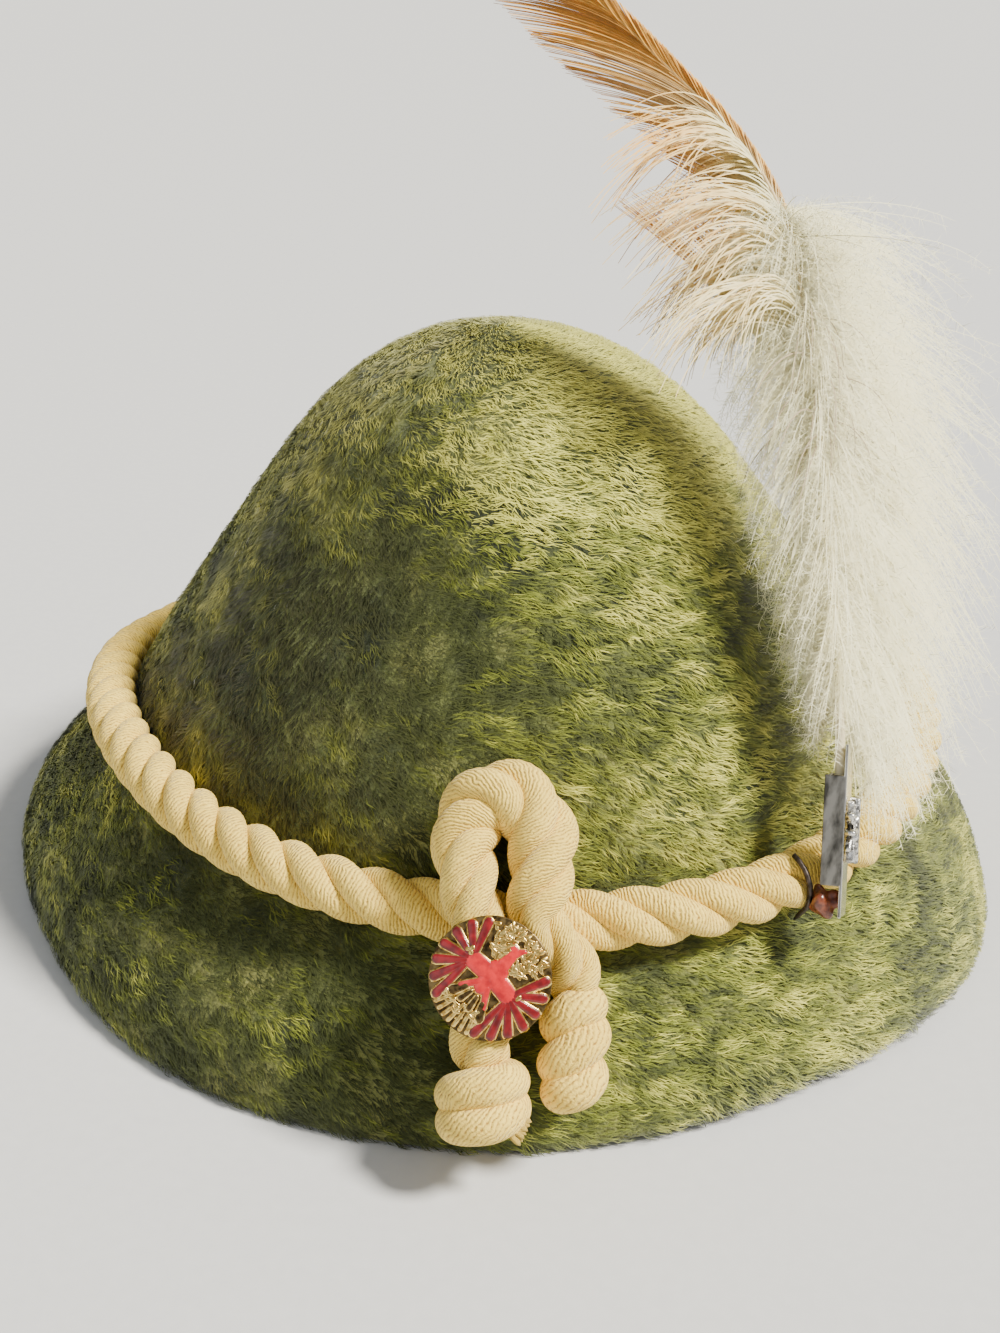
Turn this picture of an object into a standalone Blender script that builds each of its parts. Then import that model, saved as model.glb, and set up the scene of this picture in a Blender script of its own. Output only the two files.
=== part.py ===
"""Tyrolean hat of long-napped felt, with a twisted cord, a badge and a feather.

Metres, +Z up. The badge side faces -Y, and the hat rests with the edge of its brim on Z = 0.
Azimuths are in degrees, counted from +X towards +Y, so that the badge is at -90.
"""

import math

import bmesh
import bpy
from mathutils import Matrix, Vector

MM = 0.001

# Felt body
FOOT_WIDTH = 178.0 * MM
FOOT_DEPTH = 205.0 * MM
FOOT_TURN = 20.0
FOOT_HEIGHT = 44.0 * MM
FOOT_RISE = 6.0 * MM
CROWN_HEIGHT = 85.0 * MM
CROWN_SHIFT = 8.0 * MM
BRIM_REACH = 30.0 * MM
BRIM_LIFT = 2.5 * MM
FELT_THICKNESS = 2.5 * MM
DENT_DEPTH = 6.0 * MM

# Cords
CORD_DIAMETER = 11.4 * MM
CORD_TURNS = 22
CORD_GROOVE = 0.24
CORD_PRESS = 0.66
PRESS_MIDDLE = -88.5
PRESS_WIDTH = 8.0
BOW_DIAMETER = 12.6 * MM
BOW_LAY = 30.0 * MM
BOW_WIDTH = 17.0 * MM
BOW_HEIGHT = 40.0 * MM

# Knots at the ends of the bow's cord
LEFT_KNOT_WIDTH = 17.6 * MM
LEFT_KNOT_LENGTH = 13.4 * MM
LEFT_KNOT_ACROSS = 0.3 * MM
LEFT_KNOT_HEIGHT = 13.1 * MM
RIGHT_KNOT_WIDTH = 13.4 * MM
RIGHT_KNOT_LENGTH = 21.5 * MM
RIGHT_KNOT_ACROSS = 15.6 * MM
RIGHT_KNOT_HEIGHT = 20.2 * MM
KNOT_WRAPS = 3
KNOT_GROOVE = 0.08
KNOT_ROUNDNESS = 0.8
KNOT_NECK = 0.78
NECK_LENGTH = 3.0 * MM

# Badge
BADGE_DIAMETER = 22.0 * MM
BADGE_EDGE = 1.4 * MM
BADGE_DOME = 1.2 * MM
BADGE_BACK = 0.94
BADGE_BEVEL = 0.3
BADGE_TILT = 10.0
BADGE_ACROSS = 1.6 * MM
BADGE_HEIGHT = 30.5 * MM
BIRD_SPAN = 20.4 * MM
BIRD_TURN = -42.0
WING_FEATHERS = 6
WING_TOP = 60.0
WING_STEP = 15.0
WING_TIP = 2.6
WING_NOTCH = 7.5
ENAMEL_THICKNESS = 0.6 * MM

# Clip that holds the feather
CLIP_AZIMUTH = -54.5
CLIP_LEAN = -16.0
CLIP_TURN = 32.0
CLIP_RISE = 9.5 * MM
CLIP_LENGTH = 33.0 * MM
CLIP_WIDTH = 6.0 * MM
CHANNEL_LENGTH = 21.0 * MM
CHANNEL_DEPTH = 4.2 * MM
CHANNEL_OPENING = 0.35
SHEET = 0.6 * MM
ORNAMENT_LENGTH = 14.0 * MM
ORNAMENT_WIDTH = 9.0 * MM
ORNAMENT_THICKNESS = 2.0 * MM
ORNAMENT_POINTS = 8
PIN_DIAMETER = 1.1 * MM
PIN_POINT = 0.4
PIN_ASIDE = 6.0 * MM
PIN_SPAN = 62.0
PIN_TAIL = 3.0 * MM
GLUE_DIAMETER = 5.0 * MM
GLUE_STRETCH = 1.05

# Feather and down
QUILL_DIAMETER = 2.2 * MM
FEATHER_RISE = 141.0 * MM
VANE_WIDTH = 20.0 * MM
VANE_THICKNESS = 0.6 * MM
SHAFT_SHOULDER = 0.7
SHAFT_TAPER = 0.75
BARB_SWEEP = 0.5
DOWN_SPREAD = 42.0 * MM
BACKING_WIDTH = 5.0 * MM
BACKING_THICKNESS = 3.0 * MM
LOCK_FULLNESS = 0.92
LOCK_TIP = 0.2
LOCK_BACK = 0.5
LOCK_RISE = 0.5
RIGHT_FORWARD = 0.3

CLEARANCE = 0.3 * MM

# Fineness of the facets
FELT_SIDES = 60
INNER_STEP = 2
LIP_WIDTH = 1.2
CORD_SIDES = 9
CORD_STEPS = 176
KNOT_SIDES = 12
KNOT_RINGS = 9
BADGE_SIDES = 32
QUILL_SIDES = 6
SPINE_STEP = 5.4 * MM
BISECTIONS = 24
SLOPE_TURN = 2.0
SLOPE_CLIMB = 3.0 * MM
SHARP_ANGLE = 50.0
PATH_PARTS = 12
LOCK_JOINTS = 3
PIN_BENDS = 6
STEP_PARTS = 4
BOW_STEP = 3.5 * MM

# How far the brim reaches out, how much its edge is lifted and how the crown's foot rises, by azimuth
ROUND_COLUMNS = ("azimuth", "reach", "lift", "rise")
ROUND_ROWS = (
    (-180.0, 1.02, 0.0, -1.2),
    (-150.0, 0.92, 0.0, -0.5),
    (-120.0, 0.95, 0.0, -0.9),
    (-90.0, 0.78, 0.0, -1.0),
    (-60.0, 0.66, 1.0, -0.9),
    (-30.0, 0.88, 0.7, -0.5),
    (0.0, 0.88, 0.0, 0.0),
    (30.0, 0.90, 0.0, 0.0),
    (60.0, 1.00, 0.0, -1.0),
    (90.0, 1.05, 0.0, -1.8),
    (120.0, 1.10, 0.0, -2.4),
    (150.0, 1.06, 0.0, -2.7),
)

# Section of the brim, from the foot of the crown down to the edge
# Columns: down, out
BRIM_SECTION = (
    (1.00, 1.00),
    (0.82, 0.95),
    (0.62, 0.81),
    (0.42, 0.60),
    (0.22, 0.34),
    (0.08, 0.12),
)

# Section of the crown, from its foot up to the middle of its top
# Columns: up, width, depth
CROWN_SECTION = (
    (0.00, 1.000, 1.000),
    (0.07, 0.970, 0.975),
    (0.18, 0.905, 0.925),
    (0.30, 0.825, 0.865),
    (0.42, 0.740, 0.800),
    (0.54, 0.655, 0.730),
    (0.66, 0.570, 0.655),
    (0.77, 0.485, 0.565),
    (0.86, 0.390, 0.455),
    (0.93, 0.285, 0.330),
    (0.975, 0.170, 0.195),
)

# Dents pressed into the crown
# Columns: azimuth, up, depth, azimuth_spread, up_spread
DENTS = (
    (-70.0, 0.72, 0.80, 9.0, 0.13),
    (-113.0, 0.66, 1.00, 15.0, 0.20),
)

# Route of the bow's cord from the left knot round its loop to the right knot:
# across in bow widths, up in bow heights from the brim's edge, lift off the felt in bow diameters
# Columns: across, up, lift, girth
BOW_ROUTE = (
    (-0.06, 0.78, 0.84, 0.76),
    (-0.08, 0.91, 1.02, 0.72),
    (-0.08, 1.06, 1.02, 0.76),
    (-0.17, 1.20, 0.88, 0.90),
    (-0.22, 1.34, 0.62, 1.00),
    (-0.08, 1.46, 0.55, 1.00),
    (0.17, 1.51, 0.55, 1.00),
    (0.42, 1.45, 0.55, 1.00),
    (0.56, 1.33, 0.62, 1.00),
    (0.55, 1.19, 0.84, 0.90),
    (0.48, 1.06, 0.98, 0.76),
    (0.47, 0.95, 1.01, 0.72),
    (0.57, 0.88, 0.97, 0.76),
)

# Middle line of the feather above its clip, as shares of the feather's rise
# Columns: up, across, back
SPINE = (
    (0.00, 0.000, 0.000),
    (0.18, -0.016, 0.085),
    (0.36, -0.035, 0.184),
    (0.51, -0.061, 0.270),
    (0.64, -0.096, 0.355),
    (0.73, -0.160, 0.418),
    (0.82, -0.262, 0.489),
    (0.91, -0.374, 0.546),
    (0.97, -0.470, 0.589),
    (1.00, -0.530, 0.610),
)

# Reach of the vane on its two sides, as shares of the vane's width
VANE_COLUMNS = ("up", "left", "right")
VANE = (
    (0.54, 0.03, 0.03),
    (0.59, 1.10, 0.06),
    (0.63, 0.40, 0.07),
    (0.67, 1.70, 0.08),
    (0.71, 0.60, 0.09),
    (0.78, 0.64, 0.11),
    (0.87, 0.70, 0.12),
    (0.94, 0.62, 0.11),
    (0.98, 0.38, 0.08),
    (1.00, 0.06, 0.04),
)

# Length and droop of the down's locks, as shares of the down's spread
LOCK_COLUMNS = ("up", "left", "right", "droop", "forward")
LOCKS = (
    (0.02, 0.18, 0.46, 0.34, 0.12),
    (0.12, 0.22, 0.74, 0.44, 0.20),
    (0.24, 0.30, 0.92, 0.52, 0.40),
    (0.36, 0.42, 0.96, 0.54, 0.55),
    (0.46, 0.52, 0.74, 0.50, 0.50),
    (0.54, 0.56, 0.40, 0.44, 0.20),
    (0.61, 0.48, 0.14, 0.34, 0.00),
)


def column_values(rows, columns, name):
    """Return one named column of a table."""
    place = columns.index(name)
    return [row[place] for row in rows]


def round_value(azimuth, name):
    """Return a smooth value round the hat from one column of the round table."""
    azimuths = column_values(ROUND_ROWS, ROUND_COLUMNS, "azimuth")
    values = column_values(ROUND_ROWS, ROUND_COLUMNS, name)
    count = len(ROUND_ROWS)
    turned = (azimuth - azimuths[0]) % 360.0 + azimuths[0]
    index = max(i for i in range(count) if azimuths[i] <= turned + 1e-9)
    after = azimuths[(index + 1) % count] + (360.0 if index + 1 == count else 0.0)
    share = (turned - azimuths[index]) / (after - azimuths[index])
    before_value, value = values[index - 1], values[index]
    next_value, far_value = values[(index + 1) % count], values[(index + 2) % count]
    slope_here = (next_value - before_value) / 2.0
    slope_next = (far_value - value) / 2.0
    squared = share * share
    cubed = squared * share
    return (
        value * (2 * cubed - 3 * squared + 1)
        + slope_here * (cubed - 2 * squared + share)
        + next_value * (3 * squared - 2 * cubed)
        + slope_next * (cubed - squared)
    )


def foot_radius(azimuth, width_share=1.0, depth_share=1.0):
    """Return the felt's outer radius round an oval ring of the crown."""
    angle = math.radians(azimuth - FOOT_TURN)
    across = math.cos(angle) / (FOOT_WIDTH / 2.0 * width_share)
    along = math.sin(angle) / (FOOT_DEPTH / 2.0 * depth_share)
    return 1.0 / math.hypot(across, along)


def foot_level(azimuth):
    """Return the height of the crown's foot above the table."""
    return FOOT_HEIGHT + FOOT_RISE * round_value(azimuth, "rise")


def dent_push(azimuth, up):
    """Return how far the dents push the crown in."""
    push = 0.0
    for middle, height, depth, azimuth_spread, up_spread in DENTS:
        turn = (azimuth - middle + 180.0) % 360.0 - 180.0
        away = (turn / azimuth_spread) ** 2 + ((up - height) / up_spread) ** 2
        push += depth * DENT_DEPTH * math.exp(-away / 2.0)
    return push


def felt_rows(azimuth):
    """Return the felt's outer section at one azimuth, as points from the brim's edge to the top."""
    angle = math.radians(azimuth)
    outward = Vector((math.cos(angle), math.sin(angle), 0.0))
    foot = foot_radius(azimuth)
    level = foot_level(azimuth)
    reach = BRIM_REACH * round_value(azimuth, "reach")
    lift = BRIM_LIFT * max(0.0, round_value(azimuth, "lift"))
    rows = []
    for down, out in BRIM_SECTION:
        rows.append(outward * (foot + reach * out) + Vector((0.0, 0.0, level - (level - lift) * down)))
    top = FOOT_HEIGHT + CROWN_HEIGHT
    for up, width, depth in CROWN_SECTION:
        radius = foot_radius(azimuth, width, depth) - dent_push(azimuth, up)
        shift = Vector((0.0, -CROWN_SHIFT * up, level + (top - level) * up))
        rows.append(outward * radius + shift)
    rows.append(Vector((0.0, -CROWN_SHIFT, top)))
    return rows


def felt_point(azimuth, height):
    """Return the point of the felt's outer face at an azimuth and a height."""
    rows = felt_rows(azimuth)
    for low, high in zip(rows, rows[1:]):
        if height <= high.z:
            return low.lerp(high, max(0.0, (height - low.z) / (high.z - low.z)))
    return rows[-1]


def felt_normal(azimuth, height):
    """Return the felt's outward direction at an azimuth and a height."""
    turn = felt_point(azimuth + SLOPE_TURN, height) - felt_point(azimuth - SLOPE_TURN, height)
    climb = felt_point(azimuth, height + SLOPE_CLIMB) - felt_point(azimuth, height - SLOPE_CLIMB)
    return turn.cross(climb).normalized()


def finish(name, mesh, colour, roughness=0.9, metallic=0.0):
    """Turn a closed bmesh into a smooth-shaded object with its own material."""
    bmesh.ops.recalc_face_normals(mesh, faces=mesh.faces)
    data = bpy.data.meshes.new(name)
    mesh.to_mesh(data)
    mesh.free()
    data.shade_smooth()
    data.set_sharp_from_angle(angle=math.radians(SHARP_ANGLE))
    material = bpy.data.materials.new(name)
    material.use_nodes = True
    shader = material.node_tree.nodes["Principled BSDF"]
    shader.inputs["Base Color"].default_value = (*colour, 1.0)
    shader.inputs["Roughness"].default_value = roughness
    shader.inputs["Metallic"].default_value = metallic
    data.materials.append(material)
    item = bpy.data.objects.new(name, data)
    bpy.context.scene.collection.objects.link(item)
    return item


def next_ring(mesh, loop, edges, ring):
    """Extrude a ring of edges and move it onto the next ring of points."""
    made = bmesh.ops.extrude_edge_only(mesh, edges=edges)["geom"]
    places = {vertex: place for place, vertex in enumerate(loop)}
    moved = [None] * len(loop)
    for vertex in made:
        if isinstance(vertex, bmesh.types.BMVert):
            linked = [edge.other_vert(vertex) for edge in vertex.link_edges]
            place = next(places[other] for other in linked if other in places)
            moved[place] = vertex
            vertex.co = ring[place]
    return moved, [item for item in made if isinstance(item, bmesh.types.BMEdge)]


def cap(mesh, edges, tip):
    """Close a ring of edges with a fan round its tip, or round its middle."""
    face = bmesh.ops.contextual_create(mesh, geom=edges)["faces"]
    middle = bmesh.ops.poke(mesh, faces=face)["verts"][0]
    if tip is not None:
        middle.co = tip


def loft(rings, start=None, end=None, closed=False):
    """Skin rings of points into one closed body and return it as a bmesh."""
    mesh = bmesh.new()
    loop = bmesh.ops.create_circle(mesh, segments=len(rings[0]), radius=1.0)["verts"]
    first_edges = mesh.edges[:]
    edges = first_edges
    for vertex, point in zip(loop, rings[0]):
        vertex.co = point
    for ring in rings[1:]:
        loop, edges = next_ring(mesh, loop, edges, ring)
    if closed:
        bmesh.ops.bridge_loops(mesh, edges=first_edges + edges)
    else:
        cap(mesh, first_edges, start)
        cap(mesh, edges, end)
    return mesh


def inner_rows(azimuth):
    """Return the felt's inner section at one azimuth, from the brim's edge to the top."""
    before, here, after = felt_rows(azimuth - SLOPE_TURN), felt_rows(azimuth), felt_rows(azimuth + SLOPE_TURN)
    angle = math.radians(azimuth)
    outward = Vector((math.cos(angle), math.sin(angle), 0.0))
    rows = [here[0] - outward * FELT_THICKNESS * LIP_WIDTH]
    for place in range(1, len(here) - 1):
        across = after[place] - before[place]
        climb = here[place + 1] - here[place - 1]
        rows.append(here[place] - across.cross(climb).normalized() * FELT_THICKNESS)
    rows.append(here[-1] - Vector((0.0, 0.0, FELT_THICKNESS)))
    return rows


def make_hat_body():
    """Make crown and brim as one felt shell, open below."""
    azimuths = [360.0 * side / FELT_SIDES for side in range(FELT_SIDES)]
    outer = list(zip(*[felt_rows(azimuth) for azimuth in azimuths]))
    inner = list(zip(*[inner_rows(azimuth) for azimuth in azimuths]))
    inside = [ring for place, ring in enumerate(inner[:-1]) if place % INNER_STEP == 0]
    rings = inside[::-1] + outer[:-1]
    mesh = loft(rings, start=inner[-1][0], end=outer[-1][0])
    return finish("hat_body", mesh, (0.20, 0.22, 0.06), roughness=0.95)


def strand_ring(centre, side, rise, radius, turn, flat=1.0):
    """Return one lobed ring of a three-strand cord, pressed flatter along its rise."""
    ring = []
    for corner in range(CORD_SIDES):
        angle = 2.0 * math.pi * corner / CORD_SIDES
        lobe = 1.0 - CORD_GROOVE * (0.5 - 0.5 * math.cos(3.0 * (angle - turn)))
        across = side * math.cos(angle) + rise * math.sin(angle) * flat
        ring.append(centre + across * radius * lobe)
    return ring


def section_gap(centre, rows):
    """Return the distance from a point to the felt's section at the same azimuth."""
    gaps = []
    for low, high in zip(rows, rows[1:]):
        run = high - low
        share = min(1.0, max(0.0, (centre - low).dot(run) / run.length_squared))
        gaps.append((centre - low.lerp(high, share)).length)
    return min(gaps)


def cord_flatness(azimuth):
    """Return how flat the hat's cord is, which the bow and the badge press on at the front."""
    away = abs((azimuth - PRESS_MIDDLE + 180.0) % 360.0 - 180.0) / PRESS_WIDTH
    fade = min(1.0, max(0.0, 2.0 - away))
    return 1.0 - (1.0 - CORD_PRESS) * fade * fade * (3.0 - 2.0 * fade)


def cord_centre(azimuth):
    """Return the middle of the hat's cord, which lies clear of the crown and of the brim."""
    rows = felt_rows(azimuth)
    foot = felt_point(azimuth, foot_level(azimuth))
    normal = felt_normal(azimuth, foot.z)
    wanted = CORD_DIAMETER / 2.0 * cord_flatness(azimuth) + CLEARANCE
    near, far = 0.0, 2.0 * CORD_DIAMETER
    for _ in range(BISECTIONS):
        middle = (near + far) / 2.0
        if section_gap(foot + normal * middle, rows) < wanted:
            near = middle
        else:
            far = middle
    return foot + normal * far


def cord_ring(step):
    """Return one ring of the hat's cord."""
    azimuth = 360.0 * step / CORD_STEPS
    centre = cord_centre(azimuth)
    ahead = cord_centre(azimuth + 1.0) - cord_centre(azimuth - 1.0)
    rise = felt_normal(azimuth, centre.z)
    side = ahead.cross(rise).normalized()
    rise = side.cross(ahead).normalized()
    turn = -2.0 * math.pi * CORD_TURNS * step / CORD_STEPS
    return strand_ring(centre, side, rise, CORD_DIAMETER / 2.0, turn, cord_flatness(azimuth))


def make_hat_cord():
    """Make the cord round the foot of the crown as one closed, twisted ring."""
    rings = [cord_ring(step) for step in range(CORD_STEPS)]
    return finish("hat_cord", loft(rings, closed=True), (0.72, 0.60, 0.38))


def cord_points(azimuth, width):
    """Return points on the hat's cord beside one azimuth, under a piece of some width."""
    here = azimuth / 360.0 * CORD_STEPS
    span = width / (math.pi * FOOT_DEPTH) * CORD_STEPS
    count = math.ceil(2.0 * span * STEP_PARTS)
    return [point for part in range(count + 1) for point in cord_ring(here - span + part / STEP_PARTS)]


def front_azimuth(across, height):
    """Return the azimuth at which the felt's front lies a distance across from the middle."""
    azimuth = -90.0
    for _ in range(BISECTIONS):
        spot = felt_point(azimuth, height)
        azimuth += math.degrees((across - spot.x) / math.hypot(spot.x, spot.y))
    return azimuth


def front_spot(across, height, lift):
    """Return a point lifted off the front of the felt, with the felt's normal there."""
    azimuth = front_azimuth(across, height)
    normal = felt_normal(azimuth, height)
    return felt_point(azimuth, height) + normal * lift, normal


def smooth_path(points, step):
    """Return points at even steps along a smooth curve through the given points."""
    samples = []
    count = len(points)
    for index in range(count - 1):
        before = points[max(index - 1, 0)]
        start, stop = points[index], points[index + 1]
        after = points[min(index + 2, count - 1)]
        for part in range(PATH_PARTS):
            share = part / PATH_PARTS
            blend = share * share * (3.0 - 2.0 * share)
            leave = (stop - before) / 2.0 * share * (1.0 - share) ** 2
            arrive = (after - start) / 2.0 * share * share * (1.0 - share)
            samples.append(start.lerp(stop, blend) + leave - arrive)
    samples.append(points[-1])
    lengths = [0.0]
    for start, stop in zip(samples, samples[1:]):
        lengths.append(lengths[-1] + (stop - start).length)
    steps = max(2, round(lengths[-1] / step))
    path = []
    place = 0
    for index in range(steps + 1):
        wanted = lengths[-1] * index / steps
        while place < len(samples) - 2 and lengths[place + 1] < wanted:
            place += 1
        share = (wanted - lengths[place]) / (lengths[place + 1] - lengths[place])
        path.append(samples[place].lerp(samples[place + 1], min(1.0, share)))
    return path


def table_value(at, rows, columns, key, name):
    """Return a value from a table, straight between its rows."""
    keys = column_values(rows, columns, key)
    values = column_values(rows, columns, name)
    if at <= keys[0]:
        return values[0]
    for place in range(1, len(keys)):
        if at <= keys[place]:
            share = (at - keys[place - 1]) / (keys[place] - keys[place - 1])
            return values[place - 1] + (values[place] - values[place - 1]) * share
    return values[-1]


def knot_frame(across, height, width):
    """Return the middle of a knot that lies on the brim, with its side, normal and upward axes."""
    middle, normal = front_spot(across, height, width / 2.0 + CLEARANCE)
    above, _ = front_spot(across, height + width / 4.0, width / 2.0 + CLEARANCE)
    up = (above - middle).normalized()
    normal = (normal - up * normal.dot(up)).normalized()
    return middle, up.cross(normal) * -1.0, normal, up


def make_knot(name, frame, width, length, turns):
    """Make one knot as a rounded body with slanting wraps."""
    middle, side, normal, up = frame
    rings = []
    for row in range(KNOT_RINGS):
        slope = math.pi * (row + 1) / (KNOT_RINGS + 1)
        level = -math.cos(slope) * length / 2.0
        radius = math.sin(slope) ** KNOT_ROUNDNESS * width / 2.0
        ring = []
        for corner in range(KNOT_SIDES):
            angle = 2.0 * math.pi * corner / KNOT_SIDES
            wrap = 1.0 - KNOT_GROOVE * (0.5 - 0.5 * math.cos(KNOT_WRAPS * angle + turns * slope))
            ring.append(middle + up * level + (side * math.cos(angle) + normal * math.sin(angle)) * radius * wrap)
        rings.append(ring)
    mesh = loft(rings, start=middle - up * length / 2.0, end=middle + up * length / 2.0)
    return finish(name, mesh, (0.72, 0.60, 0.38))


def bow_path(left_frame, right_frame):
    """Return the bow's route with its girths, from the left knot round the loop to the right knot."""
    left_top = left_frame[0] + left_frame[3] * (LEFT_KNOT_LENGTH / 2.0 + CLEARANCE)
    right_top = right_frame[0] + right_frame[3] * (RIGHT_KNOT_LENGTH / 2.0 + CLEARANCE)
    points = [left_top, left_top + left_frame[3] * NECK_LENGTH]
    girths = [KNOT_NECK, KNOT_NECK]
    for across, up, lift, girth in BOW_ROUTE:
        spot, _ = front_spot(across * BOW_WIDTH, up * BOW_HEIGHT, lift * BOW_DIAMETER)
        points.append(spot)
        girths.append(girth)
    points += [right_top + right_frame[3] * NECK_LENGTH, right_top]
    girths += [KNOT_NECK, KNOT_NECK]
    path = smooth_path(points, BOW_STEP)
    measured = []
    for centre in path:
        away = [(point - centre).length for point in points]
        first, second = sorted(range(len(points)), key=away.__getitem__)[:2]
        share = away[first] / (away[first] + away[second])
        measured.append((centre, girths[first] * (1.0 - share) + girths[second] * share))
    return measured


def make_bow(path):
    """Make the bow's cord along its route."""
    rings = []
    for place, (centre, girth) in enumerate(path):
        ahead = (path[min(place + 1, len(path) - 1)][0] - path[max(place - 1, 0)][0]).normalized()
        rise = felt_normal(math.degrees(math.atan2(centre.y, centre.x)), centre.z)
        side = ahead.cross(rise).normalized()
        rise = side.cross(ahead)
        turn = -2.0 * math.pi * place * BOW_STEP / BOW_LAY
        rings.append(strand_ring(centre, side, rise, BOW_DIAMETER / 2.0 * girth, turn))
    mesh = loft(rings, start=path[0][0], end=path[-1][0])
    return finish("bow_cord", mesh, (0.74, 0.62, 0.40))


def badge_frame(path):
    """Return the badge's axes, with its face along Z, where it lies on the bow's cord."""
    middle, normal = front_spot(BADGE_ACROSS, BADGE_HEIGHT, 0.0)
    side = Vector((0.0, 0.0, 1.0)).cross(normal).normalized()
    turned = Matrix((side, normal.cross(side), normal)).transposed().to_4x4()
    turned = turned @ Matrix.Rotation(math.radians(BADGE_TILT), 4, "X")
    face = turned.col[2].to_3d()
    stand = 0.0
    for centre, girth in path:
        away = centre - middle
        level = away.dot(face)
        if (away - face * level).length < BADGE_DIAMETER / 2.0:
            stand = max(stand, level + girth * BOW_DIAMETER / 2.0)
    return Matrix.Translation(middle + face * (stand + CLEARANCE)) @ turned


def dome_level(radius):
    """Return the height of the badge's domed face at a distance from its middle."""
    share = radius / (BADGE_DIAMETER / 2.0)
    return BADGE_EDGE + BADGE_DOME * (1.0 - share * share)


def level_ring(radius, level, sides):
    """Return a round ring of points at one level."""
    ring = []
    for corner in range(sides):
        angle = 2.0 * math.pi * corner / sides
        ring.append(Vector((radius * math.cos(angle), radius * math.sin(angle), level)))
    return ring


def make_badge_plate(frame):
    """Make the domed plate of the badge."""
    radius = BADGE_DIAMETER / 2.0
    rings = [level_ring(radius * BADGE_BACK, 0.0, BADGE_SIDES), level_ring(radius, BADGE_EDGE * BADGE_BEVEL, BADGE_SIDES)]
    for share in (1.0, 0.75, 0.5, 0.25):
        rings.append(level_ring(radius * share, dome_level(radius * share), BADGE_SIDES))
    top = Vector((0.0, 0.0, dome_level(0.0)))
    item = finish("badge_plate", loft(rings, start=Vector(), end=top), (0.60, 0.45, 0.18), 0.35, 1.0)
    item.matrix_world = frame
    return item


def bird_outline():
    """Return the spread bird's outline as angles and reaches, starting at its head."""
    half = [(90.0, 0.62), (80.0, 0.58), (72.0, 0.34), (66.0, 0.40)]
    for feather in range(WING_FEATHERS):
        angle = WING_TOP - WING_STEP * feather
        reach = 0.86 + 0.14 * math.sin(math.pi * (feather + 0.6) / WING_FEATHERS)
        half.append((angle + WING_TIP, reach * 0.97))
        half.append((angle - WING_TIP, reach))
        half.append((angle - WING_NOTCH, 0.52))
    half += [(-36.0, 0.30), (-48.0, 0.58), (-56.0, 0.32), (-66.0, 0.76), (-72.0, 0.56), (-80.0, 0.84)]
    half.append((-85.0, 0.60))
    mirrored = [(180.0 - angle, reach) for angle, reach in half[:0:-1]]
    return half + [(-90.0, 0.88)] + mirrored


def make_badge_enamel(frame):
    """Make the enamel bird that follows the badge's domed face."""
    outline = bird_outline()
    rings = []
    for scale, lift in ((0.5, CLEARANCE), (1.0, CLEARANCE), (1.0, CLEARANCE + ENAMEL_THICKNESS),
                        (0.5, CLEARANCE + ENAMEL_THICKNESS)):
        ring = []
        for angle, reach in outline:
            radius = BIRD_SPAN / 2.0 * reach * scale
            turn = math.radians(angle + BIRD_TURN)
            ring.append(Vector((radius * math.cos(turn), radius * math.sin(turn), dome_level(radius) + lift)))
        rings.append(ring)
    low = Vector((0.0, 0.0, dome_level(0.0) + CLEARANCE))
    high = low + Vector((0.0, 0.0, ENAMEL_THICKNESS))
    item = finish("badge_enamel", loft(rings, start=low, end=high), (0.45, 0.01, 0.02), 0.15)
    item.matrix_world = frame
    return item


def clip_touches(frame, points):
    """Return whether a point lies in the clip's box or closer to it than the clearance."""
    into = frame.inverted()
    half = (CLIP_WIDTH / 2.0, CHANNEL_DEPTH / 2.0, CLIP_LENGTH / 2.0)
    for point in points:
        local = into @ point
        if all(abs(local[axis]) < half[axis] + CLEARANCE for axis in range(3)):
            return True
    return False


def clip_frame():
    """Return the clip's axes where it rests on the cord: X across, Y away from the felt, Z along it."""
    centre = cord_centre(CLIP_AZIMUTH)
    normal = felt_normal(CLIP_AZIMUTH, centre.z)
    upward = Vector((0.0, 0.0, 1.0)) - normal * normal.z
    upward.normalize()
    side = normal.cross(upward).normalized()
    frame = Matrix((side, normal, upward)).transposed().to_4x4()
    turned = Matrix.Rotation(math.radians(CLIP_LEAN), 4, "Y") @ Matrix.Rotation(math.radians(CLIP_TURN), 4, "Z")
    points = cord_points(CLIP_AZIMUTH, 2.0 * CLIP_WIDTH)
    near, far = 0.0, 2.0 * CORD_DIAMETER
    for _ in range(BISECTIONS):
        middle = (near + far) / 2.0
        frame.translation = centre + normal * middle + upward * CLIP_RISE
        if clip_touches(frame @ turned, points):
            near = middle
        else:
            far = middle
    frame.translation = centre + normal * far + upward * CLIP_RISE
    return frame @ turned


def add_box(mesh, low, high):
    """Add a box between two corners to a bmesh."""
    size = high - low
    place = Matrix.Translation((low + high) / 2.0) @ Matrix.Diagonal((*size, 1.0))
    return bmesh.ops.create_cube(mesh, size=1.0, matrix=place)["verts"]


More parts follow.
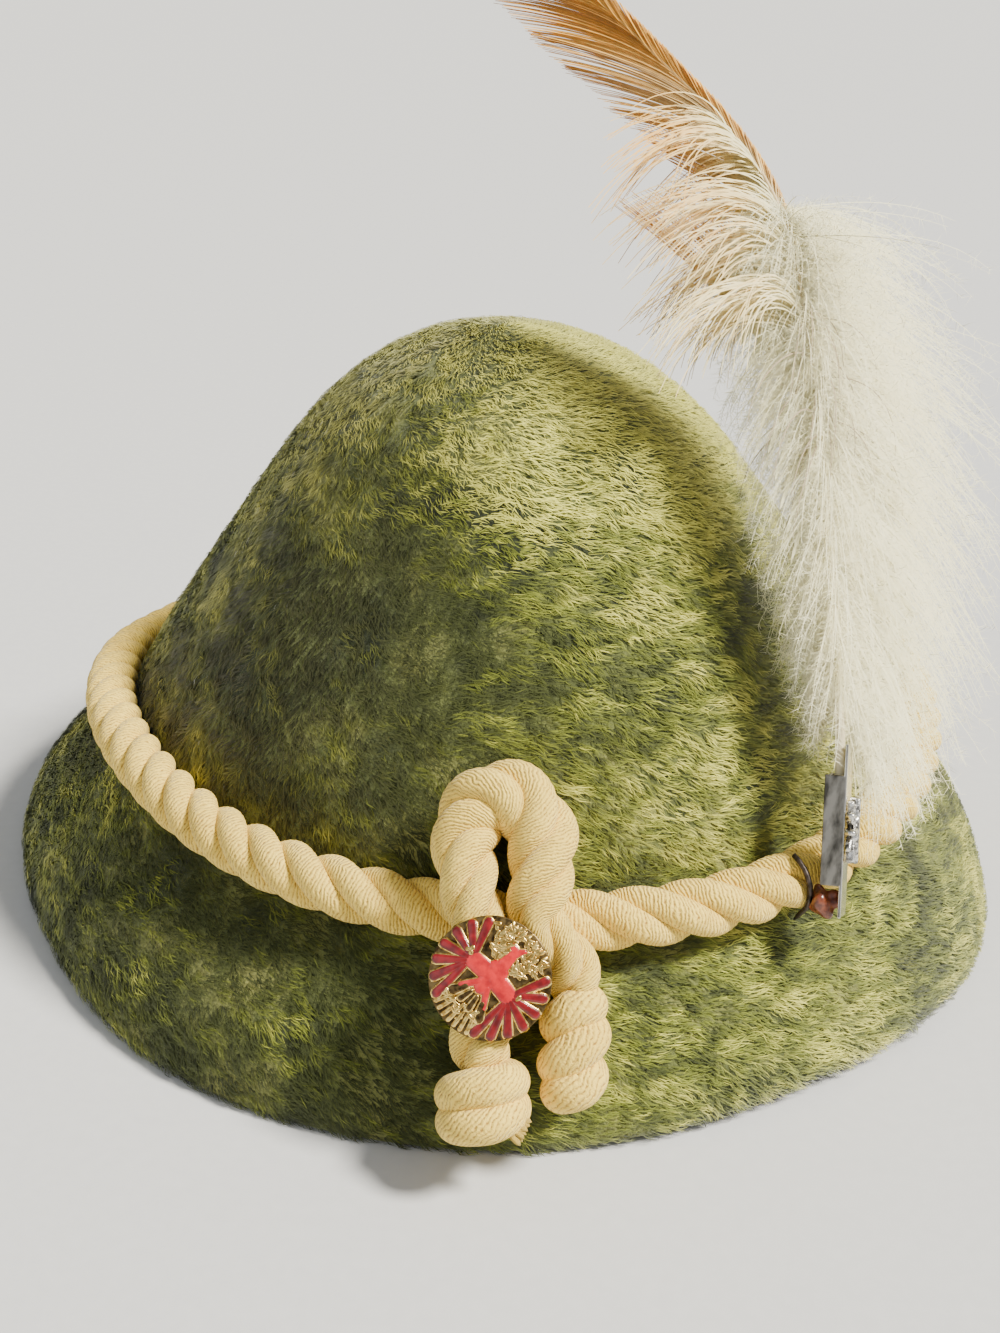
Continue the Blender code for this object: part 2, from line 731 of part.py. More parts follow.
def make_feather_clip(frame):
    """Make the clip: a long plate with a folded channel behind it."""
    half, depth = CLIP_WIDTH / 2.0, CHANNEL_DEPTH
    channel = CHANNEL_LENGTH / 2.0
    profile = (
        (-half, depth / 2.0),
        (-half, -depth / 2.0),
        (-half * CHANNEL_OPENING, -depth / 2.0),
        (-half * CHANNEL_OPENING, -depth / 2.0 + SHEET),
        (-half + SHEET, -depth / 2.0 + SHEET),
        (-half + SHEET, depth / 2.0 - SHEET),
        (half - SHEET, depth / 2.0 - SHEET),
        (half - SHEET, -depth / 2.0 + SHEET),
        (half * CHANNEL_OPENING, -depth / 2.0 + SHEET),
        (half * CHANNEL_OPENING, -depth / 2.0),
        (half, -depth / 2.0),
        (half, depth / 2.0),
    )
    mesh = bmesh.new()
    corners = [mesh.verts.new((x, y, -channel)) for x, y in profile]
    face = mesh.faces.new(corners)
    made = bmesh.ops.extrude_face_region(mesh, geom=[face])["geom"]
    lifted = [item for item in made if isinstance(item, bmesh.types.BMVert)]
    bmesh.ops.translate(mesh, vec=(0.0, 0.0, CHANNEL_LENGTH), verts=lifted)
    item = finish("feather_clip", mesh, (0.70, 0.68, 0.62), 0.25, 1.0)
    plate_mesh = bmesh.new()
    length = CLIP_LENGTH / 2.0
    add_box(plate_mesh, Vector((-half, depth / 2.0 - SHEET, -length)), Vector((half, depth / 2.0, length)))
    plate = finish("clip_plate_shape", plate_mesh, (0.70, 0.68, 0.62), 0.25, 1.0)
    plate.hide_render = True
    plate.display_type = "WIRE"
    joined = item.modifiers.new("plate", "BOOLEAN")
    joined.operation = "UNION"
    joined.object = plate
    item.matrix_world = frame
    plate.matrix_world = frame
    return item


def make_clip_ornament(frame):
    """Make the small cast ornament, a long star of leaves, on the clip's plate."""
    outer = CHANNEL_DEPTH / 2.0 + CLEARANCE
    rings = []
    for scale, level in ((1.0, 0.0), (1.0, 0.35), (0.62, 0.75), (0.28, 0.9)):
        ring = []
        for corner in range(ORNAMENT_POINTS * 2):
            angle = math.pi * corner / ORNAMENT_POINTS
            reach = scale * (1.0 if corner % 2 == 0 else 0.72)
            across = math.cos(angle) * ORNAMENT_WIDTH / 2.0 * reach
            along = math.sin(angle) * ORNAMENT_LENGTH / 2.0 * reach
            ring.append(Vector((across, outer + level * ORNAMENT_THICKNESS, along)))
        rings.append(ring)
    tip = Vector((0.0, outer + ORNAMENT_THICKNESS, 0.0))
    mesh = loft(rings, start=Vector((0.0, outer, 0.0)), end=tip)
    item = finish("clip_ornament", mesh, (0.62, 0.60, 0.55), 0.35, 1.0)
    item.matrix_world = frame
    return item


def round_rings(points, radii, sides):
    """Return the rings of a round rod along points."""
    rings = []
    for place, (centre, radius) in enumerate(zip(points, radii)):
        ahead = (points[min(place + 1, len(points) - 1)] - points[max(place - 1, 0)]).normalized()
        side = ahead.cross(Vector((0.0, -1.0, 0.0))).normalized()
        front = side.cross(ahead)
        ring = []
        for corner in range(sides):
            angle = 2.0 * math.pi * corner / sides
            ring.append(centre + (side * math.cos(angle) + front * math.sin(angle)) * radius)
        rings.append(ring)
    return rings


def make_clip_pin():
    """Make the thin pin that goes over the cord beside the clip."""
    azimuth = CLIP_AZIMUTH - math.degrees(PIN_ASIDE / (FOOT_DEPTH / 2.0))
    middle = cord_centre(azimuth)
    normal = felt_normal(azimuth, middle.z)
    upward = (Vector((0.0, 0.0, 1.0)) - normal * normal.z).normalized()
    reach = CORD_DIAMETER / 2.0 + CLEARANCE + PIN_DIAMETER / 2.0
    points = []
    for step in range(PIN_BENDS + 1):
        angle = math.radians(PIN_SPAN) * (1.0 - 2.0 * step / PIN_BENDS)
        points.append(middle + (normal * math.cos(angle) + upward * math.sin(angle)) * reach)
    points.append(points[-1] + (points[-1] - points[-2]).normalized() * PIN_TAIL)
    path = smooth_path(points, 1.5 * PIN_DIAMETER)
    radii = [PIN_DIAMETER / 2.0] * (len(path) - 1) + [PIN_DIAMETER / 2.0 * PIN_POINT]
    mesh = loft(round_rings(path, radii, QUILL_SIDES), start=path[0], end=path[-1])
    return finish("clip_pin", mesh, (0.05, 0.04, 0.03), 0.5, 1.0)


def spine_path(frame, start):
    """Return the middle line of the feather from a level in the clip up to its tip, in even steps."""
    top = frame @ Vector((0.0, 0.0, CLIP_LENGTH / 2.0))
    points = [frame @ Vector((0.0, 0.0, start)), frame @ Vector((0.0, 0.0, (start + CLIP_LENGTH / 2.0) / 2.0))]
    for up, across, back in SPINE:
        points.append(top + Vector((across, back, up)) * FEATHER_RISE)
    return smooth_path(points, SPINE_STEP), top.z


def spine_axes(path, place):
    """Return the direction along the feather, to its right and out of its front at one step."""
    ahead = (path[min(place + 1, len(path) - 1)] - path[max(place - 1, 0)]).normalized()
    right = Vector((0.0, 1.0, 0.0)).cross(ahead).normalized()
    return ahead, right, right.cross(ahead)


def make_feather(frame):
    """Make the quill, shaft and vane as one thin blade."""
    path, top = spine_path(frame, -CHANNEL_LENGTH / 2.0 - CLEARANCE)
    rings = []
    for place, centre in enumerate(path):
        up = (centre.z - top) / FEATHER_RISE
        ahead, right, front = spine_axes(path, place)
        shaft = QUILL_DIAMETER / 2.0 * (1.0 - SHAFT_TAPER * max(0.0, up))
        left_reach = max(shaft, VANE_WIDTH * table_value(up, VANE, VANE_COLUMNS, "up", "left"))
        right_reach = max(shaft, VANE_WIDTH * table_value(up, VANE, VANE_COLUMNS, "up", "right"))
        edge = VANE_THICKNESS / 2.0
        shoulder = shaft * SHAFT_SHOULDER
        ring = [
            centre + right * right_reach + ahead * (right_reach - shaft) * BARB_SWEEP,
            centre + right * shoulder + front * max(edge, shoulder),
            centre + front * max(edge, shaft),
            centre - right * shoulder + front * max(edge, shoulder),
            centre - right * left_reach + ahead * (left_reach - shaft) * BARB_SWEEP,
            centre - right * shoulder - front * max(edge, shoulder),
            centre - front * max(edge, shaft),
            centre + right * shoulder - front * max(edge, shoulder),
        ]
        rings.append(ring)
    return finish("feather", loft(rings, start=path[0], end=path[-1]), (0.62, 0.42, 0.18), 0.6)


def grow_lock(mesh, face, reach, droop):
    """Extrude one face of the backing into a drooping lock that tapers to a thin end."""
    root = face.calc_center_median()
    corners = [vertex.co - root for vertex in face.verts]
    for joint in range(1, LOCK_JOINTS + 1):
        share = joint / LOCK_JOINTS
        face = bmesh.ops.extrude_discrete_faces(mesh, faces=[face])["faces"][0]
        scale = LOCK_FULLNESS + (LOCK_TIP - LOCK_FULLNESS) * share * share
        centre = root + reach * share + droop * share * share
        for vertex, corner in zip(face.verts, corners):
            vertex.co = centre + corner * scale


def make_feather_down(frame):
    """Make the down as drooping locks on a thin backing behind the shaft."""
    path, top = spine_path(frame, CLIP_LENGTH / 2.0 - CLEARANCE)
    behind = QUILL_DIAMETER / 2.0 + CLEARANCE + BACKING_THICKNESS / 2.0
    last = LOCKS[-1][0]
    chosen = [place for place, centre in enumerate(path) if LOCKS[0][0] <= (centre.z - top) / FEATHER_RISE <= last]
    rings = []
    for place in chosen:
        ahead, right, front = spine_axes(path, place)
        middle = path[place] - front * behind
        ring = []
        for corner in range(QUILL_SIDES):
            angle = 2.0 * math.pi * (corner + 0.5) / QUILL_SIDES
            across = right * math.cos(angle) * BACKING_WIDTH / 2.0
            ring.append(middle + across + front * math.sin(angle) * BACKING_THICKNESS / 2.0)
        rings.append(ring)
    mesh = loft(rings)
    mesh.normal_update()
    sides = [face for face in mesh.faces if len(face.verts) == 4]
    bmesh.ops.recalc_face_normals(mesh, faces=mesh.faces)
    for face in sides:
        root = face.calc_center_median()
        up = (root.z - top) / FEATHER_RISE
        place = min(chosen, key=lambda index: (path[index] - root).length)
        ahead, right, front = spine_axes(path, place)
        across = face.normal.dot(right)
        if abs(across) < 0.4 or face.normal.dot(front) > 0.4:
            continue
        name = "right" if across > 0.0 else "left"
        length = DOWN_SPREAD * table_value(up, LOCKS, LOCK_COLUMNS, "up", name)
        fall = DOWN_SPREAD * table_value(up, LOCKS, LOCK_COLUMNS, "up", "droop")
        forward = DOWN_SPREAD * table_value(up, LOCKS, LOCK_COLUMNS, "up", "forward")
        if name == "right":
            forward *= RIGHT_FORWARD
        outward = right * math.copysign(1.0, across) + front * min(0.0, face.normal.dot(front)) * LOCK_BACK
        bend = front * forward - Vector((0.0, 0.0, fall))
        grow_lock(mesh, face, outward.normalized() * length + ahead * fall * LOCK_RISE, bend)
    return finish("feather_down", mesh, (0.86, 0.82, 0.72), 0.9)


def make_quill_glue(frame):
    """Make the drop of glue at the foot of the quill."""
    radius = GLUE_DIAMETER / 2.0
    inner = CHANNEL_DEPTH / 2.0 - SHEET - CLEARANCE - radius
    middle = Vector((0.0, inner, -CHANNEL_LENGTH / 2.0 - 2.0 * CLEARANCE - radius * GLUE_STRETCH))
    mesh = bmesh.new()
    bmesh.ops.create_icosphere(mesh, subdivisions=2, radius=radius)
    bmesh.ops.scale(mesh, vec=(1.0, 1.0, GLUE_STRETCH), verts=mesh.verts)
    bmesh.ops.translate(mesh, vec=middle, verts=mesh.verts)
    item = finish("quill_glue", mesh, (0.20, 0.05, 0.02), 0.25)
    item.matrix_world = frame
    return item


def stand_on_origin(items):
    """Hang all pieces on one empty, moved so that the middle of their box lies over the origin."""
    bpy.context.view_layer.update()
    corners = [item.matrix_world @ vertex.co for item in items for vertex in item.data.vertices]
    low = [min(corner[axis] for corner in corners) for axis in range(3)]
    high = [max(corner[axis] for corner in corners) for axis in range(3)]
    root = bpy.data.objects.new("hat", None)
    bpy.context.scene.collection.objects.link(root)
    for item in bpy.data.objects:
        if item is not root:
            item.parent = root
    root.location = (-(low[0] + high[0]) / 2.0, -(low[1] + high[1]) / 2.0, -low[2])


def main():
    """Clear the scene and make every piece of the hat."""
    for item in list(bpy.data.objects):
        bpy.data.objects.remove(item)
    left_frame = knot_frame(LEFT_KNOT_ACROSS, LEFT_KNOT_HEIGHT, LEFT_KNOT_WIDTH)
    right_frame = knot_frame(RIGHT_KNOT_ACROSS, RIGHT_KNOT_HEIGHT, RIGHT_KNOT_WIDTH)
    path = bow_path(left_frame, right_frame)
    badge = badge_frame(path)
    clip = clip_frame()
    items = [
        make_hat_body(),
        make_hat_cord(),
        make_knot("left_end_knot", left_frame, LEFT_KNOT_WIDTH, LEFT_KNOT_LENGTH, 1.0),
        make_knot("right_end_knot", right_frame, RIGHT_KNOT_WIDTH, RIGHT_KNOT_LENGTH, 4.0),
        make_bow(path),
        make_badge_plate(badge),
        make_badge_enamel(badge),
        make_feather_clip(clip),
        make_clip_ornament(clip),
        make_clip_pin(),
        make_quill_glue(clip),
        make_feather(clip),
        make_feather_down(clip),
    ]
    stand_on_origin(items)


if __name__ == "__main__":
    main()
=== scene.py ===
"""Looks of a tyrolean hat: brushed felt with its nap, twisted cotton cords, badge, clip and feather."""

import logging
import math
from dataclasses import dataclass, field
from enum import Enum

import bmesh
import bpy
import numpy as np
from mathutils import Matrix, Vector
from mathutils.bvhtree import BVHTree


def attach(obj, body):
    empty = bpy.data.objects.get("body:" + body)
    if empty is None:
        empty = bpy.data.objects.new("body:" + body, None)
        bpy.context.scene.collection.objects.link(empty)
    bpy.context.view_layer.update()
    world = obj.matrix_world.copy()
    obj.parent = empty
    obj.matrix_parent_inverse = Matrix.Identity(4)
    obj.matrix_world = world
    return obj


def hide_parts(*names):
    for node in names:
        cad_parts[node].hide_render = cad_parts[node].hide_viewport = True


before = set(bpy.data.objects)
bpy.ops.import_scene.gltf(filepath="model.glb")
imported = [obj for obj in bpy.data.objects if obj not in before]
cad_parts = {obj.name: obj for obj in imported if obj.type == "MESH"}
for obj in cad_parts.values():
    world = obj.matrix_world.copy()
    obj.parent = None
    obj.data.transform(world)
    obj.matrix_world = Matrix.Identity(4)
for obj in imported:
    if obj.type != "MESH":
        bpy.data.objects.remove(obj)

log = logging.getLogger("hat")

MM = 0.001
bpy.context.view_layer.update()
WELD = 0.01 * MM

TURN = 2.0 * math.pi

Colour = tuple[float, float, float]
Spot = tuple[float, float, float]
Tube = tuple[np.ndarray, np.ndarray]
Form = tuple[Vector, Vector, float, float]
Socket = bpy.types.NodeSocket


class Side(Enum):
    """The two sides of the feather's shaft, seen from the front."""

    LEFT = -1
    RIGHT = 1


class Twist(Enum):
    """The hand of a laid cord."""

    RIGHT_HANDED = 1
    LEFT_HANDED = -1


class LampKind(Enum):
    """The kinds of light in the studio."""

    SUN = "SUN"
    AREA = "AREA"


def smooth_share(share: np.ndarray) -> np.ndarray:
    """Return shares from 0 to 1 that start and end softly."""
    return share * share * (3.0 - 2.0 * share)


def cloud(points: np.ndarray, size: float, seed: int) -> np.ndarray:
    """Return smooth random values between 0 and 1 in space.

    Args:
        points: Places, one row each.
        size: Width of one cloud in metres.
        seed: Number that picks the pattern.

    Returns:
        One value for each place.
    """
    cells = points / size
    low = np.floor(cells).astype(np.int64)
    share = cells - low
    share = smooth_share(share)
    total = np.zeros(len(points))
    for corner in range(8):
        step = np.array([(corner >> axis) & 1 for axis in range(3)])
        weight = np.prod(np.where(step == 1, share, 1.0 - share), axis=1)
        key = (low + step) @ np.array([73856093, 19349663, 83492791]) + seed * 7919
        key = (key ^ (key >> 13)) * 1274126177
        total += weight * ((key ^ (key >> 16)) & 0xFFFF) / 0xFFFF
    return total


def unit(rows: np.ndarray) -> np.ndarray:
    """Return the rows scaled to length one."""
    return rows / np.maximum(np.linalg.norm(rows, axis=-1, keepdims=True), 1e-12)


def distances(points: np.ndarray) -> np.ndarray:
    """Return the distance along a row of points at each of them."""
    return np.concatenate(([0.0], np.cumsum(np.linalg.norm(np.diff(points, axis=0), axis=1))))


def directions(points: np.ndarray, closed: bool = False) -> np.ndarray:
    """Return the direction along a row of points at each of them.

    Args:
        points: The points, one row each.
        closed: Whether the last point meets the first.

    Returns:
        One direction of length one for each point.
    """
    if closed:
        return unit(np.roll(points, -1, axis=0) - np.roll(points, 1, axis=0))
    return unit(np.gradient(points, axis=0))


def square_to(rows: np.ndarray, along: np.ndarray) -> np.ndarray:
    """Return the rows with their part along other directions taken out, scaled to length one."""
    return unit(rows - along * (rows * along).sum(axis=1, keepdims=True))


def circles(out: np.ndarray, beside: np.ndarray, sides: int) -> np.ndarray:
    """Return a circle of directions round each step, spanned by two rows of axes, as (steps, sides, 3)."""
    theta = TURN * np.arange(sides) / sides
    return out[:, None, :] * np.cos(theta)[None, :, None] + beside[:, None, :] * np.sin(theta)[None, :, None]


def smoothed(rows: np.ndarray, rounds: int) -> np.ndarray:
    """Return rows that are evened out along their length, with both ends kept.

    Args:
        rows: The values, one row for each step.
        rounds: Number of times that each row is mixed with its neighbours.

    Returns:
        The even rows.
    """
    rows = rows.copy()
    for _ in range(rounds):
        rows[1:-1] = rows[1:-1] * 0.5 + (rows[:-2] + rows[2:]) * 0.25
    return rows


def heading_at(angle: float) -> Vector:
    """Return the flat direction at an angle."""
    return Vector((math.cos(angle), math.sin(angle)))


def blend_colours(low: np.ndarray, high: np.ndarray, share: np.ndarray) -> np.ndarray:
    """Return colours between two colours, or two rows of them, by share."""
    weight = np.clip(share, 0.0, 1.0)[:, None]
    return low * (1.0 - weight) + high * weight


def set_tints(data: bpy.types.Mesh, tints: np.ndarray | Colour) -> None:
    """Keep the vertices' colours in the attribute "tint".

    Args:
        data: The mesh.
        tints: One colour for each vertex, or one for them all.
    """
    colours = np.ones((len(data.vertices), 4), dtype=np.float32)
    colours[:, :3] = tints
    layer = data.color_attributes.new("tint", "FLOAT_COLOR", "POINT")
    layer.data.foreach_set("color", colours.ravel())


def joined_mesh(name: str, points: np.ndarray, corners: np.ndarray,
                tints: np.ndarray | None = None) -> bpy.types.Mesh:
    """Return one mesh of many small faces.

    Args:
        name: Name of the mesh.
        points: Vertices, one row each.
        corners: Faces, one row of vertex numbers each.
        tints: Colour of each vertex, kept in the attribute "tint".

    Returns:
        The mesh, shaded smooth.
    """
    data = bpy.data.meshes.new(name)
    count, sides = corners.shape
    data.vertices.add(len(points))
    data.vertices.foreach_set("co", points.astype(np.float32).ravel())
    data.loops.add(count * sides)
    data.loops.foreach_set("vertex_index", corners.astype(np.int32).ravel())
    data.polygons.add(count)
    data.polygons.foreach_set("loop_start", np.arange(count, dtype=np.int32) * sides)
    data.update(calc_edges=True)
    if tints is not None:
        set_tints(data, tints)
    data.shade_smooth()
    return data


def facing_sign(first: np.ndarray, second: np.ndarray, wanted: np.ndarray) -> np.ndarray:
    """Return 1 or -1 for each row, so that a face spanned by two edges faces a wanted way."""
    return np.where((np.cross(first, second) * wanted).sum(axis=-1, keepdims=True) < 0.0, -1.0, 1.0)


def soft_normals(data: bpy.types.Mesh, rows: np.ndarray) -> None:
    """Shade thin fibres as part of the soft form that they stand on.

    Args:
        data: The fibres' mesh.
        rows: Direction that each vertex faces.
    """
    data.normals_split_custom_set_from_vertices(unit(rows))


def bmesh_data(name: str, mesh: bmesh.types.BMesh) -> bpy.types.Mesh:
    """Turn a bmesh into a smooth mesh.

    Args:
        name: Name of the mesh.
        mesh: The bmesh, which is freed.

    Returns:
        The mesh.
    """
    data = bpy.data.meshes.new(name)
    mesh.to_mesh(data)
    mesh.free()
    data.shade_smooth()
    return data


def add_object(name: str, data: bpy.types.ID) -> bpy.types.Object:
    """Add an object to the scene.

    Args:
        name: Name of the object.
        data: Its mesh, light or camera.

    Returns:
        The new object.
    """
    item = bpy.data.objects.new(name, data)
    bpy.context.scene.collection.objects.link(item)
    return item


def add_piece(name: str, data: bpy.types.Mesh, material: bpy.types.Material) -> bpy.types.Object:
    """Add one piece of the hat, riding on its body.

    Args:
        name: Name of the piece.
        data: Its mesh, already in place.
        material: Its finish.

    Returns:
        The new object.
    """
    data.materials.append(material)
    item = add_object(name, data)
    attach(item, "root")
    log.info("%s: %d faces", name, len(data.polygons))
    return item


def subdivide(item: bpy.types.Object, levels: int) -> None:
    """Give a piece a live Subdivision Surface modifier.

    Args:
        item: The piece.
        levels: Number of times that its faces are divided.
    """
    smooth = item.modifiers.new("smooth", "SUBSURF")
    smooth.levels = levels
    smooth.render_levels = levels


def node_points(node: str) -> np.ndarray:
    """Return the vertices of a CAD node, one row each."""
    return np.array([vertex.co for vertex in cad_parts[node].data.vertices])


def welded(node: str) -> bmesh.types.BMesh:
    """Copy a CAD node's mesh and join its loose triangles.

    Args:
        node: The CAD node.

    Returns:
        The joined copy.
    """
    mesh = bmesh.new()
    mesh.from_mesh(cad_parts[node].data)
    bmesh.ops.remove_doubles(mesh, verts=mesh.verts, dist=WELD)
    mesh.verts.ensure_lookup_table()
    return mesh


def node_rings(node: str) -> list[list[Vector]]:
    """Return the rings of vertices along a lofted CAD node.

    Args:
        node: The CAD node, whose two ends are poles.

    Returns:
        The rings, from the lower pole to the far one.
    """
    mesh = welded(node)
    most = max(len(vertex.link_edges) for vertex in mesh.verts)
    poles = [vertex for vertex in mesh.verts if len(vertex.link_edges) == most]
    start = min(poles, key=lambda vertex: vertex.co.z)
    seen = {start}
    ring = [start]
    rings = []
    while ring:
        rings.append([vertex.co.copy() for vertex in ring])
        reached = {edge.other_vert(vertex) for vertex in ring for edge in vertex.link_edges}
        ring = list(reached - seen)
        seen |= reached
    mesh.free()
    return rings


def flat_axes(node: str) -> Matrix:
    """Return the axes of a flat CAD node.

    Args:
        node: The CAD node.

    Returns:
        The axes in its middle: X across it, Y upwards in its plane, Z out of its face.
    """
    points = node_points(node)
    middle = (points.min(axis=0) + points.max(axis=0)) / 2.0
    _, _, rows = np.linalg.svd(points - points.mean(axis=0), full_matrices=False)
    out = Vector(rows[2])
    if out.dot(Vector((middle[0], middle[1], 0.0))) < 0.0:
        out.negate()
    up = (Vector((0.0, 0.0, 1.0)) - out * out.z).normalized()
    across = up.cross(out)
    place = Matrix((across, up, out)).transposed().to_4x4()
    place.translation = Vector(middle)
    return place


class ShaderSheet:
    """A node material while it is put together."""

    def __init__(self, name: str, roughness: float, metallic: float = 0.0) -> None:
        """Start a Principled material.

        Args:
            name: Name of the material.
            roughness: Roughness of the whole surface.
            metallic: 1 for metal, 0 for anything else.
        """
        self.material = bpy.data.materials.new(name)
        self.material.use_nodes = True
        self.tree = self.material.node_tree
        self.shader = self.tree.nodes["Principled BSDF"]
        self.set_value("Roughness", roughness)
        self.set_value("Metallic", metallic)

    def set_value(self, socket: str, value: float) -> None:
        """Set one number on the shader's own socket."""
        self.shader.inputs[socket].default_value = value

    def node(self, kind: str) -> bpy.types.Node:
        """Add one node."""
        return self.tree.nodes.new(kind)

    def wire(self, source: Socket, target: Socket) -> None:
        """Join two sockets."""
        self.tree.links.new(source, target)

    def place(self) -> Socket:
        """Return the object coordinates."""
        return self.node("ShaderNodeTexCoord").outputs["Object"]

    def attribute(self, name: str) -> Socket:
        """Read a colour attribute of the piece.

        Args:
            name: Name of the attribute.

        Returns:
            The colour's socket.
        """
        node = self.node("ShaderNodeAttribute")
        node.attribute_name = name
        return node.outputs["Color"]

    def noise(self, size: float, detail: float = 3.0, stretch: Colour = (1.0, 1.0, 1.0)) -> Socket:
        """Return noise in object space.

        Args:
            size: Width of one blotch in metres.
            detail: Number of finer layers.
            stretch: Share of the density along each axis.

        Returns:
            The noise, from 0 to 1.
        """
        mapping = self.node("ShaderNodeMapping")
        mapping.inputs["Scale"].default_value = [value / size for value in stretch]
        self.wire(self.place(), mapping.inputs["Vector"])
        noise = self.node("ShaderNodeTexNoise")
        noise.inputs["Scale"].default_value = 1.0
        noise.inputs["Detail"].default_value = detail
        self.wire(mapping.outputs["Vector"], noise.inputs["Vector"])
        return noise.outputs["Fac"]

    def maths(self, operation: str, first: Socket | float, second: Socket | float = 0.0) -> Socket:
        """Return the result of one sum.

        Args:
            operation: Name of the sum.
            first: Socket or number that it starts from.
            second: Socket or number that it takes next, if it takes two.

        Returns:
            The result's socket.
        """
        node = self.node("ShaderNodeMath")
        node.operation = operation
        for place, value in enumerate((first, second)):
            if isinstance(value, (int, float)):
                node.inputs[place].default_value = value
            else:
                self.wire(value, node.inputs[place])
        return node.outputs["Value"]

    def ramp(self, factor: Socket, stops: list[tuple[float, Colour]]) -> Socket:
        """Return a colour from a ramp.

        Args:
            factor: Value that picks the place on the ramp.
            stops: Places from 0 to 1 with their colours.

        Returns:
            The colour's socket.
        """
        node = self.node("ShaderNodeValToRGB")
        elements = node.color_ramp.elements
        while len(elements) < len(stops):
            elements.new(0.5)
        for element, (position, colour) in zip(elements, stops):
            element.position = position
            element.color = (*colour, 1.0)
        self.wire(factor, node.inputs["Fac"])
        return node.outputs["Color"]

    def multiply(self, colour: Socket, other: Socket) -> Socket:
        """Multiply two colours.

        Args:
            colour: The first colour.
            other: The second colour.

        Returns:
            The product's socket.
        """
        node = self.node("ShaderNodeMix")
        node.data_type = "RGBA"
        node.blend_type = "MULTIPLY"
        node.inputs["Factor"].default_value = 1.0
        self.wire(colour, node.inputs["A"])
        self.wire(other, node.inputs["B"])
        return node.outputs["Result"]

    def colour(self, source: Socket) -> None:
        """Give the surface its colour."""
        self.wire(source, self.shader.inputs["Base Color"])

    def bump(self, height: Socket, depth: float) -> None:
        """Give the surface fine relief.

        Args:
            height: The relief, from 0 to 1.
            depth: Height of the relief in metres.
        """
        node = self.node("ShaderNodeBump")
        node.inputs["Distance"].default_value = depth
        self.wire(height, node.inputs["Height"])
        self.wire(node.outputs["Normal"], self.shader.inputs["Normal"])


@dataclass(frozen=True)
class FeltFinish:
    """Matted wool under the nap, mottled from dark to mid olive."""

    dark: Colour = (0.035, 0.045, 0.012)
    middle: Colour = (0.13, 0.15, 0.035)
    light: Colour = (0.30, 0.30, 0.08)
    blotch: float = 14.0 * MM
    fibre: float = 0.7 * MM

    def material(self) -> bpy.types.Material:
        """Return the felt's material."""
        sheet = ShaderSheet("brushed_felt", 0.95)
        sheet.set_value("Sheen Weight", 0.15)
        mottle = sheet.ramp(
            sheet.noise(self.blotch, 4.0),
            [(0.32, self.dark), (0.52, self.middle), (0.72, self.light)],
        )
        grain = sheet.noise(self.fibre, 2.0)
        fibres = sheet.ramp(grain, [(0.3, (0.6, 0.6, 0.6)), (0.7, (1.0, 1.0, 1.0))])
        sheet.colour(sheet.multiply(mottle, fibres))
        sheet.bump(grain, 0.4 * MM)
        return sheet.material


@dataclass(frozen=True)
class StrandFinish:
    """Loose fibres or barbs, coloured by their own tint and broken up by fine noise."""

    name: str
    roughness: float = 0.7
    sheen: float = 0.2
    fleck: float = 3.0 * MM
    shade: float = 0.75

    def material(self) -> bpy.types.Material:
        """Return the fibres' material."""
        sheet = ShaderSheet(self.name, self.roughness)
        sheet.set_value("Sheen Weight", self.sheen)
        sheet.set_value("Specular IOR Level", 0.3)
        fleck = sheet.ramp(sheet.noise(self.fleck, 2.0), [(0.3, (self.shade,) * 3), (0.7, (1.0, 1.0, 1.0))])
        sheet.colour(sheet.multiply(sheet.attribute("tint"), fleck))
        return sheet.material


@dataclass(frozen=True)
class CottonFinish:
    """Undyed cotton yarn, whose fine yarns show as ridges on each strand, with painted shade in the grooves
    between them.
    """

    name: str
    yarns_round: float
    yarns_along: float
    ply: float = 2.6 * MM
    groove_shade: Colour = (0.36, 0.18, 0.025)
    crest: Colour = (1.00, 0.72, 0.13)
    ridge: float = 0.36 * MM
    fluff: float = 0.5 * MM

    def material(self) -> bpy.types.Material:
        """Return the cotton's material."""
        sheet = ShaderSheet(self.name, 0.9)
        sheet.set_value("Sheen Weight", 0.15)
        split = sheet.node("ShaderNodeSeparateXYZ")
        sheet.wire(sheet.node("ShaderNodeTexCoord").outputs["UV"], split.inputs["Vector"])
        fluff = sheet.noise(self.fluff, 3.0)
        round_phase = sheet.maths("MULTIPLY", split.outputs["X"], self.yarns_round)
        along_phase = sheet.maths("MULTIPLY", split.outputs["Y"], self.yarns_along)
        phase = sheet.maths("ADD", round_phase, along_phase)
        wobble = sheet.maths("MULTIPLY", sheet.noise(self.ply, 3.0), 2.4)
        turns = sheet.maths("MULTIPLY", sheet.maths("ADD", phase, wobble), TURN)
        wave = sheet.maths("ADD", sheet.maths("MULTIPLY", sheet.maths("SINE", turns), 0.5), 0.5)
        height = sheet.maths("ADD", sheet.maths("MULTIPLY", wave, 0.5), sheet.maths("MULTIPLY", fluff, 0.6))
        # painted shade: the grooves between the yarns are coloured much darker than their crests
        yarns = sheet.ramp(height, [(0.20, self.groove_shade), (0.46, self.crest)])
        age = sheet.ramp(sheet.noise(11.0 * MM, 3.0), [(0.3, (0.88, 0.84, 0.72)), (0.7, (1.0, 1.0, 1.0))])
        sheet.colour(sheet.multiply(yarns, age))
        sheet.bump(height, self.ridge)
        return sheet.material


